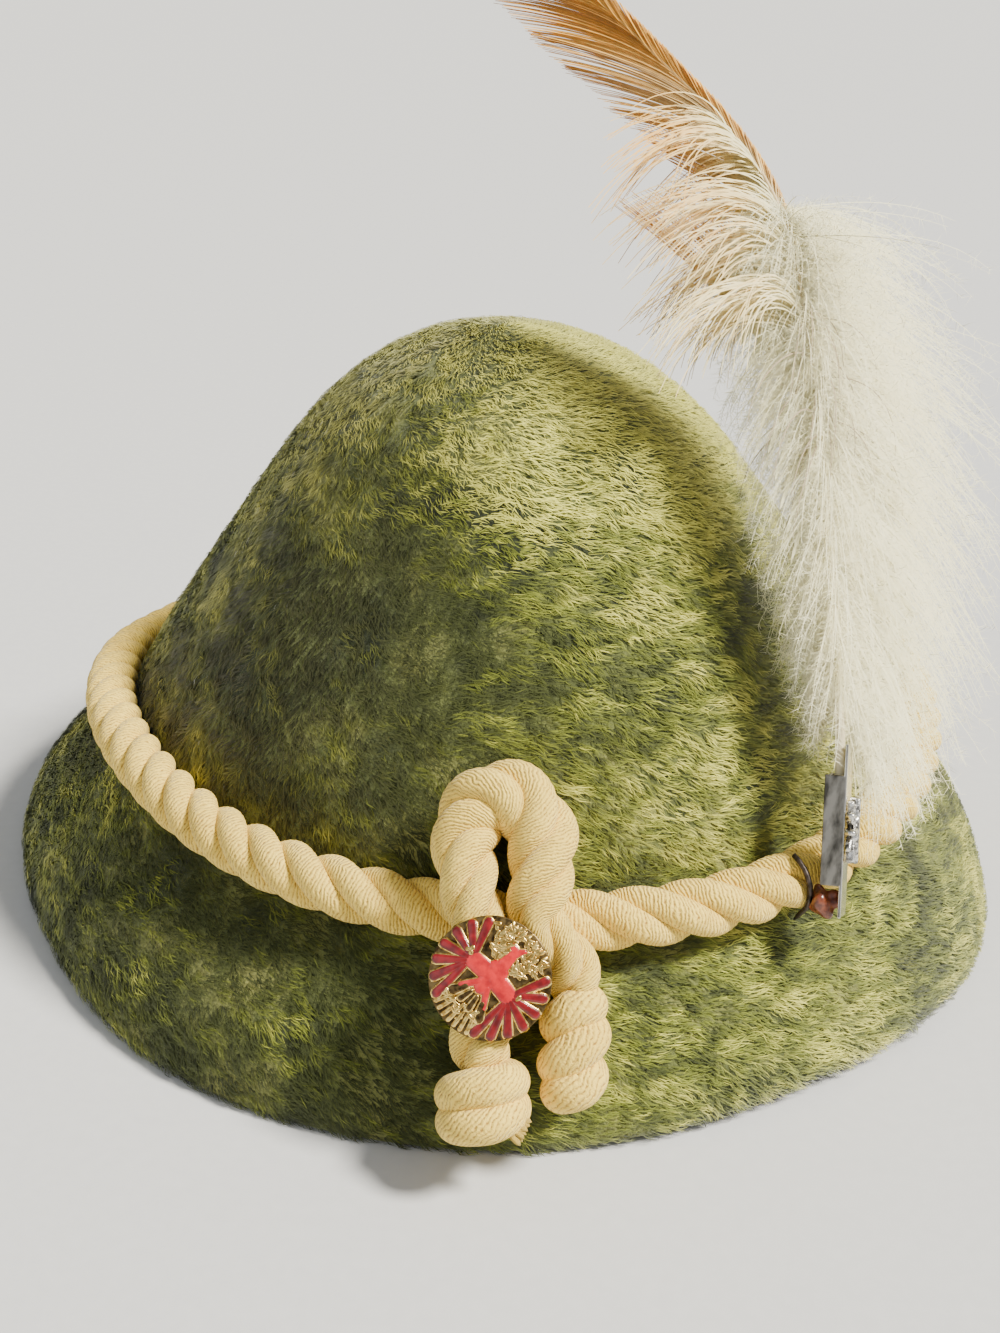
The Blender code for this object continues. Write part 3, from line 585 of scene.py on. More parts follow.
@dataclass(frozen=True)
class MetalFinish:
    """Cast or folded metal, darker in its grain and slightly uneven."""

    name: str
    bright: Colour
    dull: Colour
    roughness: float = 0.3
    grain: float = 1.2 * MM
    stretch: Colour = (1.0, 1.0, 1.0)
    relief: float = 0.05 * MM

    def material(self) -> bpy.types.Material:
        """Return the metal's material."""
        sheet = ShaderSheet(self.name, self.roughness, 1.0)
        grain = sheet.noise(self.grain, 4.0, self.stretch)
        sheet.colour(sheet.ramp(grain, [(0.35, self.dull), (0.62, self.bright)]))
        sheet.bump(grain, self.relief)
        return sheet.material


@dataclass(frozen=True)
class GlossFinish:
    """A glossy poured skin, such as enamel or glue."""

    name: str
    deep: Colour
    bright: Colour
    cloudiness: float = 1.5 * MM
    roughness: float = 0.28

    def material(self) -> bpy.types.Material:
        """Return the glossy material."""
        sheet = ShaderSheet(self.name, self.roughness)
        sheet.set_value("Coat Weight", 0.3)
        sheet.set_value("Coat Roughness", 0.08)
        cloudy = sheet.noise(self.cloudiness, 3.0)
        sheet.colour(sheet.ramp(cloudy, [(0.35, self.deep), (0.65, self.bright)]))
        sheet.bump(cloudy, 0.08 * MM)
        return sheet.material


@dataclass(frozen=True)
class Patch:
    """A soft patch of the nap that differs from the rest, round one side of the hat."""

    azimuth: float
    width: float
    amount: float = 1.0

    def at(self, azimuth: np.ndarray) -> np.ndarray:
        """Return how much of the patch is at azimuths in degrees."""
        return self.amount * np.exp(-(((azimuth - self.azimuth) / self.width) ** 2))


@dataclass
class FeltBody:
    """The felt shell and the nap brushed out of its outer side."""

    levels: int = 2
    blades: int = 184000
    parts: int = 4
    blade_length: float = 3.1 * MM
    blade_width: float = 0.25 * MM
    tuft: float = 3.2 * MM
    lie: float = math.radians(24.0)
    lie_change: float = math.radians(46.0)
    lift: float = 0.26
    floor_gap: float = 0.3 * MM
    dark: Colour = (0.045, 0.060, 0.003)
    middle: Colour = (0.235, 0.275, 0.018)
    light: Colour = (0.850, 0.825, 0.140)
    brown: Colour = (0.160, 0.125, 0.035)
    crown_foot: float = 40.0 * MM
    crown_rise: float = 12.0 * MM
    # painted light: the nap is made lighter towards the top of the crown and at its right front, where the
    # key light falls
    painted_light_from: float = 86.0 * MM
    painted_light_rise: float = 34.0 * MM
    painted_light_top: float = 1.05
    painted_light_side: Patch = Patch(-28.0, 36.0, 0.16)
    # painted shade: the nap is made darker at the front left of the brim and of the crown
    painted_shade_brim: Patch = Patch(-112.0, 34.0, 0.62)
    painted_shade_crown: Patch = Patch(-115.0, 27.0, 0.74)
    # painted shade: the nap is made browner and darker at the front left of the crown
    dulled: Patch = Patch(-135.0, 30.0, 0.6)
    ruffled: Patch = Patch(-138.0, 26.0)
    names: tuple[str, ...] = ("nap_back_left", "nap_front_left", "nap_front_right", "nap_back_right")
    random: np.random.Generator = field(default_factory=lambda: np.random.default_rng(11))

    def build(self) -> None:
        """Build the shell and its nap."""
        shell = self.build_shell()
        points, normals = self.scatter(shell)
        self.build_nap(points, normals)

    def build_shell(self) -> bpy.types.Object:
        """Build the smooth felt shell.

        Returns:
            The shell's object, with its Subdivision modifier live.
        """
        mesh = welded("hat_body")
        bmesh.ops.join_triangles(
            mesh,
            faces=mesh.faces,
            angle_face_threshold=math.radians(50.0),
            angle_shape_threshold=math.radians(60.0),
        )
        item = add_piece("felt_shell", bmesh_data("felt_shell", mesh), FeltFinish().material())
        subdivide(item, self.levels)
        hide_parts("hat_body")
        return item

    def scatter(self, shell: bpy.types.Object) -> tuple[np.ndarray, np.ndarray]:
        """Return evenly spread roots on the outer side of the shell, with the surface's normals.

        Args:
            shell: The felt shell.

        Returns:
            Places and normals, one row for each blade.
        """
        evaluated = shell.evaluated_get(bpy.context.evaluated_depsgraph_get())
        data = evaluated.to_mesh()
        data.calc_loop_triangles()
        places = np.empty(len(data.vertices) * 3)
        data.vertices.foreach_get("co", places)
        places = places.reshape(-1, 3)
        slopes = np.empty(len(data.vertices) * 3)
        data.vertex_normals.foreach_get("vector", slopes)
        slopes = slopes.reshape(-1, 3)
        corners = np.empty(len(data.loop_triangles) * 3, dtype=np.int32)
        data.loop_triangles.foreach_get("vertices", corners)
        corners = corners.reshape(-1, 3)
        evaluated.to_mesh_clear()
        a, b, c = (places[corners[:, place]] for place in range(3))
        cross = np.cross(b - a, c - a)
        middle = (a + b + c) / 3.0
        outward = np.column_stack((unit(middle[:, :2]), np.ones(len(middle))))
        outer = np.einsum("ij,ij->i", unit(cross), outward) > 0.12
        corners, areas = corners[outer], np.linalg.norm(cross[outer], axis=1)
        chosen = self.random.choice(len(corners), self.blades, p=areas / areas.sum())
        u, v = self.random.random(self.blades), self.random.random(self.blades)
        flip = u + v > 1.0
        u[flip], v[flip] = 1.0 - u[flip], 1.0 - v[flip]
        weights = np.column_stack((1.0 - u - v, u, v))[:, :, None]
        points = (places[corners[chosen]] * weights).sum(axis=1)
        normals = unit((slopes[corners[chosen]] * weights).sum(axis=1))
        return points, normals

    def lay(self, points: np.ndarray, normals: np.ndarray) -> np.ndarray:
        """Return the direction in which the nap lies, brushed round the hat and downwards.

        Args:
            points: Roots of the blades.
            normals: Normals of the felt there.

        Returns:
            One direction for each blade.
        """
        out = np.column_stack((unit(points[:, :2]), np.zeros(len(points))))
        round_hat = np.column_stack((-out[:, 1], out[:, 0], out[:, 2]))
        downhill = square_to(out * 0.35 - np.array([0.0, 0.0, 1.0]), normals)
        round_hat = square_to(round_hat, normals)
        azimuth = np.degrees(np.arctan2(points[:, 1], points[:, 0]))
        ruffled = self.ruffled.at(azimuth) * (points[:, 2] > self.crown_foot)
        angle = self.lie + self.lie_change * (cloud(points, 26.0 * MM, 3) - 0.5)
        angle += ruffled * math.radians(48.0)
        angle += math.radians(70.0) * (cloud(points, self.tuft, 5) - 0.5) * (1.0 + ruffled)
        angle += self.random.normal(0.0, math.radians(9.0), len(points))
        return round_hat * np.cos(angle)[:, None] + downhill * np.sin(angle)[:, None]

    def tints(self, points: np.ndarray) -> np.ndarray:
        """Return the blades' colours: blotches of light and dark with single stray hairs, plus painted light
        on the top and right front of the crown and painted shade at the front left of the hat.

        Args:
            points: Roots of the blades.

        Returns:
            One colour for each blade.
        """
        flat = points * np.array([0.6, 0.6, 1.5])
        blotch = 0.30 * cloud(points, 15.0 * MM, 21) + 0.34 * cloud(flat, 4.5 * MM, 22)
        blotch += 0.36 * cloud(flat, 2.0 * MM, 23)
        azimuth = np.degrees(np.arctan2(points[:, 1], points[:, 0]))
        height = points[:, 2]
        crown = np.clip((height - self.crown_foot) / self.crown_rise, 0.0, 1.0)
        # painted light: lighter towards the top of the crown and at its right front
        painted_light = self.painted_light_top * np.clip((height - self.painted_light_from) / self.painted_light_rise, 0.0, 1.0)
        painted_light += self.painted_light_side.at(azimuth) * crown
        # painted shade: darker at the front left of the brim and of the crown
        painted_shade = self.painted_shade_brim.at(azimuth) * (1.0 - crown) + self.painted_shade_crown.at(azimuth) * crown
        value = (blotch - 0.5) * 2.5 + 0.50 + painted_light - painted_shade + self.random.normal(0.0, 0.13, len(points))
        dark, middle, light = np.array(self.dark), np.array(self.middle), np.array(self.light)
        low = blend_colours(dark, middle, value * 2.0)
        tint = blend_colours(low, light, (value - 0.5) * 1.7)
        # painted shade: browner and darker at the front left of the crown; the wide cloud adds browner tone
        # at random all over the felt
        dulled = self.dulled.at(azimuth) * (height > self.crown_foot)
        dulled = dulled + 0.25 * cloud(points, 30.0 * MM, 24)
        brown = tint * 0.45 + np.array(self.brown) * (0.25 + tint.mean(axis=1, keepdims=True))
        return blend_colours(tint, brown, dulled)

    def build_nap(self, points: np.ndarray, normals: np.ndarray) -> None:
        """Build the nap as joined meshes of short bent blades.

        Args:
            points: Roots of the blades.
            normals: Normals of the felt there.
        """
        order = np.argsort(np.degrees(np.arctan2(points[:, 1], points[:, 0])) % 360.0)
        order = np.roll(order, -order.size // 4)
        points, normals = points[order], normals[order]
        count = len(points)
        along = self.lay(points, normals)
        length = 0.55 + 0.6 * cloud(points, 4.0 * MM, 9) + 0.35 * self.random.random(count)
        length = (self.blade_length * length)[:, None]
        lift = (self.lift * (0.5 + self.random.random(count)))[:, None]
        across = np.cross(along, normals) + normals * self.random.normal(0.0, 0.35, (count, 1))
        half = unit(across) * self.blade_width * (0.35 + 0.3 * self.random.random((count, 1)))
        roots = points - normals * 0.2 * MM
        middles = points + (along * 0.5 + normals * lift * 0.8) * length
        curl = (np.cross(along, normals) * self.random.normal(0.0, 0.14, (count, 1))) * length
        tips = points + (along + normals * lift * 0.75) * length + curl
        narrow = half * 0.8
        rows = np.stack((roots - half, roots + half, middles + narrow, middles - narrow, tips), axis=1)
        rows[:, :, 2] = np.maximum(rows[:, :, 2], self.floor_gap)
        tint = self.tints(points)
        shade = np.array([0.45, 0.45, 0.85, 0.85, 1.2])
        colours = tint[:, None, :] * shade[None, :, None]
        pattern = np.array([[0, 1, 2], [0, 2, 3], [3, 2, 4]])
        finish = StrandFinish("felt_nap", 0.75, 0.3).material()
        size = count // self.parts
        for part, name in enumerate(self.names):
            chosen = slice(part * size, (part + 1) * size)
            corners = (np.arange(size)[:, None, None] * 5 + pattern[None]).reshape(-1, 3)
            data = joined_mesh(name, rows[chosen].reshape(-1, 3), corners, colours[chosen].reshape(-1, 3))
            upright = unit(normals[chosen] * 0.85 + along[chosen] * 0.25)
            soft_normals(data, np.repeat(upright, 5, axis=0))
            item = add_piece(name, data, finish)
            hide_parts("hat_body")


@dataclass
class CordRun:
    """A middle line with what a laid cord needs at each step."""

    centres: np.ndarray
    rises: np.ndarray
    radii: np.ndarray
    flats: np.ndarray
    closed: bool = False

    def aheads(self) -> np.ndarray:
        """Return the direction along the run at each step."""
        return directions(self.centres, self.closed)

    def lengths(self) -> np.ndarray:
        """Return the distance along the run at each step, with the closing step last if it is closed."""
        points = np.vstack((self.centres, self.centres[:1])) if self.closed else self.centres
        return distances(points)


def tube_mesh(name: str, tubes: list[Tube], closed: bool) -> bpy.types.Mesh:
    """Return one mesh of several tubes with a UV map round and along them.

    Args:
        name: Name of the mesh.
        tubes: For each tube its rings, as (steps, sides, 3), and the distance along it at each step.
        closed: Whether each tube's end meets its start.

    Returns:
        The mesh. U runs once round a tube and V counts millimetres along it.
    """
    points, faces, maps, caps = [], [], [], []
    base = 0
    for rings, lengths in tubes:
        steps, sides, _ = rings.shape
        points.append(rings.reshape(-1, 3))
        rows = np.arange(steps if closed else steps - 1)
        step, side = np.meshgrid(rows, np.arange(sides), indexing="ij")
        step, side = step.ravel(), side.ravel()
        after, beside = (step + 1) % steps, (side + 1) % sides
        near, far = step * sides, after * sides
        quads = np.column_stack((near + side, near + beside, far + beside, far + side))
        faces.append(quads + base)
        low, high = lengths[step] / MM, lengths[step + 1] / MM
        around, past = side / sides, (side + 1) / sides
        maps.append(np.stack((around, low, past, low, past, high, around, high), axis=1))
        if not closed:
            caps.append([base + place for place in range(sides)][::-1])
            caps.append([base + (steps - 1) * sides + place for place in range(sides)])
        base += steps * sides
    data = joined_mesh(name, np.vstack(points), np.vstack(faces))
    layer = data.uv_layers.new(name="cord")
    layer.uv.foreach_set("vector", np.vstack(maps).ravel().astype(np.float32))
    if caps:
        mesh = bmesh.new()
        mesh.from_mesh(data)
        mesh.verts.ensure_lookup_table()
        for cap in caps:
            mesh.faces.new([mesh.verts[place] for place in cap]).smooth = True
        mesh.to_mesh(data)
        mesh.free()
    return data


@dataclass
class LaidCord:
    """A cord of three cotton strands, each with its fine yarns."""

    strands: int = 3
    sides: int = 18
    strand_offset: float = 0.49
    strand_radius: float = 0.535
    twist: Twist = Twist.RIGHT_HANDED

    def tubes(self, run: CordRun, turns: np.ndarray) -> list[Tube]:
        """Return the strands' rings along a run.

        Args:
            run: The cord's middle line.
            turns: Angle through which the lay has turned at each step.

        Returns:
            For each strand its rings and the distance along it.
        """
        ahead = run.aheads()
        side = unit(np.cross(ahead, run.rises))
        rise = np.cross(side, ahead)
        lengths = run.lengths()
        made = []
        flattening = (1.0 - run.flats)[:, None]
        for strand in range(self.strands):
            angle = -self.twist.value * turns + TURN * strand / self.strands
            out = side * np.cos(angle)[:, None] + rise * np.sin(angle)[:, None]
            raised = rise * (out * rise).sum(axis=1, keepdims=True)
            centre = run.centres + (out - raised * flattening) * run.radii[:, None] * self.strand_offset
            along = directions(centre, run.closed)
            out = square_to(out, along)
            round_strand = circles(out, np.cross(along, out), self.sides)
            lifted = (round_strand * rise[:, None, :]).sum(axis=2, keepdims=True)
            round_strand = round_strand - rise[:, None, :] * lifted * flattening[:, :, None]
            rings = centre[:, None, :] + round_strand * (run.radii * self.strand_radius)[:, None, None]
            made.append((rings, lengths))
        return made


@dataclass
class HatCord:
    """The cord laid round the foot of the crown."""

    radius: float = 5.75 * MM
    turns: int = 22
    steps: int = 620
    slices: int = 88
    yarns_round: float = 9.0
    yarns_along: float = -1.5
    cord: LaidCord = field(default_factory=LaidCord)

    def run(self) -> CordRun:
        """Read the cord's middle line from its CAD node, averaged in slices round the hat.

        Returns:
            The closed run.
        """
        points = np.unique(np.round(node_points("hat_cord"), 6), axis=0)
        azimuth = np.arctan2(points[:, 1], points[:, 0])
        around = TURN * np.arange(self.slices) / self.slices - math.pi
        width = 1.6 * TURN / self.slices
        away = np.abs((azimuth[None, :] - around[:, None] + math.pi) % (TURN) - math.pi) / width
        weights = np.maximum(0.0, 1.0 - away) ** 2
        weights /= weights.sum(axis=1, keepdims=True)
        radial = np.hypot(points[:, 0], points[:, 1])
        reach = weights @ radial
        level = weights @ points[:, 2]
        spread = np.sqrt(weights @ (radial * radial) - reach * reach)
        flat = np.clip(spread / np.median(spread), 0.6, 1.0)
        at = TURN * np.arange(self.steps) / self.steps - math.pi
        reach, level, flat = (np.interp(at, around, row, period=TURN) for row in (reach, level, flat))
        centres = np.column_stack((reach * np.cos(at), reach * np.sin(at), level))
        rises = np.column_stack((np.cos(at) * 0.85, np.sin(at) * 0.85, np.full(self.steps, 0.53)))
        return CordRun(centres, rises, np.full(self.steps, self.radius), flat, closed=True)

    def build(self) -> None:
        """Build the cord in place of its CAD node."""
        run = self.run()
        turns = TURN * self.turns * np.arange(self.steps) / self.steps
        data = tube_mesh("crown_cord", self.cord.tubes(run, turns), closed=True)
        finish = CottonFinish("cotton_cord", self.yarns_round, self.yarns_along)
        item = add_piece("crown_cord", data, finish.material())
        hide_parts("hat_cord")


@dataclass
class Bow:
    """The knotted bow: one cord that loops up behind the badge, with a knot on each end."""

    lay: float = 26.0 * MM
    step: float = 0.9 * MM
    strand_share: float = 1.08
    pinch: float = 0.72
    pinch_length: float = 3.0 * MM
    tuck: float = 1.8 * MM
    yarns_round: float = 24.0
    yarns_along: float = -0.95
    cord: LaidCord = field(default_factory=lambda: LaidCord(sides=26))

    def run(self) -> CordRun:
        """Read the bow cord's middle line and girth from the rings of its CAD node.

        Returns:
            The run from the left knot to the right one.
        """
        rings = [ring for ring in node_rings("bow_cord") if len(ring) > 1]
        centres = np.array([np.mean([list(point) for point in ring], axis=0) for ring in rings])
        girths = []
        for centre, ring in zip(centres, rings):
            girths.append(max((point - Vector(centre)).length for point in ring))
        tucks = unit(np.array([centres[0] - centres[1], centres[-1] - centres[-2]])) * self.tuck
        centres = np.vstack((centres[:1] + tucks[:1], centres, centres[-1:] + tucks[1:]))
        girths = [girths[0]] + girths + [girths[-1]]
        lengths = distances(centres)
        count = int(lengths[-1] / self.step)
        at = np.linspace(0.0, lengths[-1], count)
        smooth = np.column_stack([np.interp(at, lengths, centres[:, axis]) for axis in range(3)])
        smooth = smoothed(smooth, 6)
        radii = smoothed(np.interp(at, lengths, girths), 6)
        tree = BVHTree.FromBMesh(welded("hat_body"))
        rises = smoothed(np.array([list(tree.find_nearest(Vector(centre))[1]) for centre in smooth]), 12)
        from_end = np.minimum(at, lengths[-1] - at) / self.pinch_length
        pinched = self.pinch + (1.0 - self.pinch) * np.clip(from_end, 0.0, 1.0) ** 0.7
        return CordRun(smooth, unit(rises), radii * self.strand_share * pinched, np.ones(count))

    def build(self) -> None:
        """Build the bow's cord in place of its CAD node."""
        run = self.run()
        turns = TURN * run.lengths() / self.lay
        data = tube_mesh("looped_cord", self.cord.tubes(run, turns), closed=False)
        finish = CottonFinish("cotton_bow", self.yarns_round, self.yarns_along)
        item = add_piece("looped_cord", data, finish.material())
        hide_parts("bow_cord")


@dataclass(frozen=True)
class KnotAxes:
    """A knot's middle, its axes to the right, out of the felt and upwards, and its half width and length."""

    middle: Vector
    side: Vector
    normal: Vector
    up: Vector
    half: float
    rise: float


@dataclass
class EndKnot:
    """A knot on one end of the bow: a fat strand wound round itself, with both ends behind."""

    node: str
    name: str
    bands: int
    fullness: float = 1.12
    slant: float = 0.12
    yarns_along: float = 1.3
    yarns_round: float = 20.0
    inset: float = 0.96
    tuck: float = 0.08
    frayed_ends: int = 0
    yarn_end: float = 0.28
    steps: int = 150
    sides: int = 26

    def axes(self) -> KnotAxes:
        """Read the knot's axes and half sizes from its CAD node.

        Returns:
            The axes, with the side to the viewer's right.
        """
        rings = node_rings(self.node)
        bottom, top = rings[0][0], rings[-1][0]
        up = (top - bottom).normalized()
        middle = (top + bottom) / 2.0
        out = Vector((middle.x, middle.y, 0.0)).normalized()
        normal = (out - up * out.dot(up)).normalized()
        half = max((point - middle).cross(up).length for ring in rings for point in ring)
        return KnotAxes(middle, up.cross(normal), normal, up, half, (top - bottom).length / 2.0)

    def build(self) -> None:
        """Build the knot in place of its CAD node."""
        axes = self.axes()
        share = np.linspace(0.0, 1.0, self.steps)
        fat = axes.rise / self.bands * self.fullness
        angle = -TURN * (self.bands * share + 0.25)
        highest = axes.rise - fat * self.inset
        level = np.clip((share - 0.5) * 2.0 * axes.rise, -highest, highest)
        squeeze = np.sqrt(np.clip(1.0 - (level / axes.rise) ** 2, 0.05, 1.0))
        tuck = smooth_share(np.clip(np.minimum(share, 1.0 - share) / self.tuck, 0.0, 1.0))
        reach = (axes.half * (0.55 + 0.45 * squeeze) - fat * self.inset) * (0.35 + 0.65 * tuck)
        level = level + np.cos(angle) * reach * self.slant
        rows = np.array([list(axes.side), list(axes.normal), list(axes.up)])
        local = np.column_stack((np.cos(angle) * reach, np.sin(angle) * reach, level))
        centres = np.array(axes.middle) + local @ rows
        along = directions(centres)
        out = unit(np.column_stack((np.cos(angle), np.sin(angle), level * 0.0)) @ rows)
        out = square_to(out, along)
        radii = fat * (0.72 + 0.28 * tuck)
        rings = centres[:, None, :] + circles(out, np.cross(along, out), self.sides) * radii[:, None, None]
        tubes = [(rings, distances(centres))] + self.yarn_ends(axes)
        data = tube_mesh(self.name, tubes, closed=False)
        finish = CottonFinish("cotton_" + self.name, self.yarns_round, self.yarns_along)
        item = add_piece(self.name, data, finish.material())
        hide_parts(self.node)

    def yarn_ends(self, axes: KnotAxes) -> list[Tube]:
        """Return the short cut yarns that stand out of the knot's lower right.

        Args:
            axes: The knot's axes and half sizes.

        Returns:
            For each yarn its rings and the distance along it.
        """
        random = np.random.default_rng(31)
        share = np.linspace(0.0, 1.0, 6)
        radii = 0.62 * MM * np.sqrt(1.02 - share**4)
        reach = axes.half * self.yarn_end
        tubes = []
        for end in range(self.frayed_ends):
            spread = end / max(self.frayed_ends - 1, 1) - 0.5
            root = axes.middle + axes.side * axes.half * (0.66 + 0.14 * spread)
            root = root - axes.up * axes.rise * (0.56 - 0.44 * spread) + axes.normal * axes.half * 0.36
            heading = axes.side + axes.normal * random.uniform(-0.1, 0.6) + axes.up * (spread * 0.7 - 0.6)
            heading.normalize()
            across = heading.cross(axes.up).normalized()
            centres = np.array(root) + share[:, None] * np.array(heading) * reach
            around = circles(np.array([list(across)]), np.array([list(heading.cross(across))]), 8)
            tubes.append((centres[:, None, :] + around * radii[:, None, None], share * reach))
        return tubes


def relief_finger(mesh: bmesh.types.BMesh, plate: BVHTree, place: Matrix, path: tuple[Vector, Vector],
                  widths: tuple[float, float], heights: tuple[float, float], round_steps: int = 5) -> None:
    """Add one rounded finger of relief that follows a plate's face.

    Args:
        mesh: Mesh that gets the finger.
        plate: The plate's surface.
        place: The plate's axes, with its face along Z.
        path: The finger's two ends on the plate.
        widths: Its half widths at the two ends.
        heights: Its lower and upper level over the plate.
        round_steps: Number of steps round each end.
    """
    start, stop = path
    turn = math.atan2(stop.y - start.y, stop.x - start.x)
    outline = []
    for centre, half, first in ((start, widths[0], 0.5), (stop, widths[1], -0.5)):
        for step in range(round_steps):
            angle = turn + math.pi * (first + step / (round_steps - 1))
            outline.append((centre, heading_at(angle) * half))
    foot, top = heights
    rings = []
    for shrink, level in ((1.0, foot), (1.0, top * 0.8), (0.8, top), (0.35, top * 1.08)):
        ring = []
        for centre, away in outline:
            spot = centre + away * shrink
            origin = place @ Vector((spot.x, spot.y, 20.0 * MM))
            hit = plate.ray_cast(origin, -place.col[2].to_3d())[0] or place @ Vector((spot.x, spot.y, 0.0))
            ring.append(mesh.verts.new(hit + place.col[2].to_3d() * level))
        rings.append(ring)
    for low, high in zip(rings, rings[1:]):
        for corner in range(len(low)):
            after = (corner + 1) % len(low)
            mesh.faces.new((low[corner], low[after], high[after], high[corner]))
    mesh.faces.new(rings[-1])
    mesh.faces.new(rings[0][::-1])


@dataclass
class Badge:
    """The domed gilt badge with a spread bird in red enamel and leafy relief beside it."""

    diameter: float = 22.0 * MM
    edge: float = 1.4 * MM
    dome: float = 1.2 * MM
    turn: float = math.radians(-42.0)
    wing_feathers: int = 7
    tail_folds: int = 9
    wall: float = 0.24 * MM
    sunk: float = 0.1 * MM
    leaves: int = 210
    rounds: int = 96
    random: np.random.Generator = field(default_factory=lambda: np.random.default_rng(5))

    def profile(self) -> list[Vector]:
        """Draw the half section of the plate.

        Returns:
            Its points, from the middle of the back to the middle of the face.
        """
        radius = self.diameter / 2.0
        points = [Vector((0.0, 0.0, 0.0)), Vector((radius * 0.94, 0.0, 0.0))]
        points.append(Vector((radius, 0.0, self.edge * 0.3)))
        for share in (1.0, 0.985, 0.95, 0.92, 0.90, 0.8, 0.65, 0.5, 0.35, 0.2, 0.0):
            level = self.edge + self.dome * (1.0 - share * share)
            points.append(Vector((radius * share, 0.0, level)))
        return points

    def back_axes(self) -> Matrix:
        """Work out the badge's axes from its CAD node.

        Returns:
            The axes, with the origin in the middle of its back.
        """
        place = flat_axes("badge_plate")
        out = place.col[2].to_3d()
        points = [vertex.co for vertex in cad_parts["badge_plate"].data.vertices]
        middle = place.translation
        low = min((point - middle).dot(out) for point in points)
        across = [(point - middle).dot(place.col[0].to_3d()) for point in points]
        upward = [(point - middle).dot(place.col[1].to_3d()) for point in points]
        shift = place.col[0].to_3d() * (max(across) + min(across)) / 2.0
        shift += place.col[1].to_3d() * (max(upward) + min(upward)) / 2.0
        place.translation = middle + shift + out * low
        return place

    def build(self) -> None:
        """Build the plate, the bird and the leaves."""
        place = self.back_axes()
        mesh = bmesh.new()
        points = [mesh.verts.new(point) for point in self.profile()]
        edges = [mesh.edges.new(pair) for pair in zip(points, points[1:])]
        bmesh.ops.spin(
            mesh, geom=points + edges, angle=TURN, steps=self.rounds, axis=(0.0, 0.0, 1.0),
            cent=(0.0, 0.0, 0.0), use_merge=True,
        )
        bmesh.ops.remove_doubles(mesh, verts=mesh.verts, dist=WELD)
        bmesh.ops.recalc_face_normals(mesh, faces=mesh.faces)
        bmesh.ops.transform(mesh, matrix=place, verts=mesh.verts)
        plate = BVHTree.FromBMesh(mesh)
        aged = MetalFinish("aged_gilt", (0.22, 0.15, 0.06), (0.05, 0.032, 0.014), 0.42, relief=0.1 * MM)
        item = add_piece("badge_disc", bmesh_data("badge_disc", mesh), aged.material())
        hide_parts("badge_plate")
        self.build_bird(plate, place)

    def body_forms(self) -> list[Form]:
        """Lay out the bird's body, neck, head and arms.

        Returns:
            Their ends and half widths, in shares of the reach.
        """
        forms = [
            (Vector((0.0, -0.18)), Vector((0.0, 0.14)), 0.13, 0.21),
            (Vector((0.0, 0.20)), Vector((0.0, 0.56)), 0.13, 0.075),
            (Vector((0.0, 0.58)), Vector((-0.11, 0.64)), 0.09, 0.05),
            (Vector((0.0, 0.58)), Vector((0.09, 0.70)), 0.07, 0.04),
        ]
        for hand in (-1.0, 1.0):
            forms.append((Vector((0.08 * hand, 0.06)), Vector((0.42 * hand, 0.02)), 0.16, 0.15))
            forms.append((Vector((0.08 * hand, -0.14)), Vector((0.26 * hand, -0.40)), 0.06, 0.05))
        return forms

    def feather_forms(self) -> list[Form]:
        """Lay out the feathers of both wings.

        Returns:
            Their ends and half widths, in shares of the reach.
        """
        forms = []
        for hand in (-1.0, 1.0):
            for feather in range(self.wing_feathers):
                share = feather / (self.wing_feathers - 1)
                angle = math.radians(43.0 - 104.0 * share)
                root = Vector((hand * (0.38 + 0.12 * math.cos(angle)), 0.02 + 0.20 * math.sin(angle)))
                tip = Vector((hand * math.cos(angle), math.sin(angle)))
                tip *= 0.90 + 0.03 * math.sin(math.pi * share)
                forms.append((root, tip, 0.050, 0.080))
        return forms

    def fold_forms(self) -> list[Form]:
        """Lay out the gilt folds below the bird.

        Returns:
            Their ends and half widths, in shares of the reach.
        """
        forms = []
        for fold in range(self.tail_folds):
            angle = math.radians(-90.0 + 7.4 * (fold - (self.tail_folds - 1) / 2.0))
            heading = heading_at(angle)
            forms.append((heading * (0.58 + 0.10 * (fold % 2)), heading * 0.94, 0.008, 0.020))
        return forms

    def cell_forms(self) -> list[Form]:
        """Lay out the dark cells beside the bird's tail.

        Returns:
            Their ends and half widths, in shares of the reach.
        """
        forms = []
        for angle, near, far, wide in ((-118.0, 0.40, 0.62, 0.085), (-101.0, 0.36, 0.56, 0.05),
                                       (-80.0, 0.36, 0.58, 0.05), (-60.0, 0.42, 0.66, 0.085)):
            heading = heading_at(math.radians(angle))
            forms.append((heading * near, heading * far, wide * 0.6, wide))
        return forms

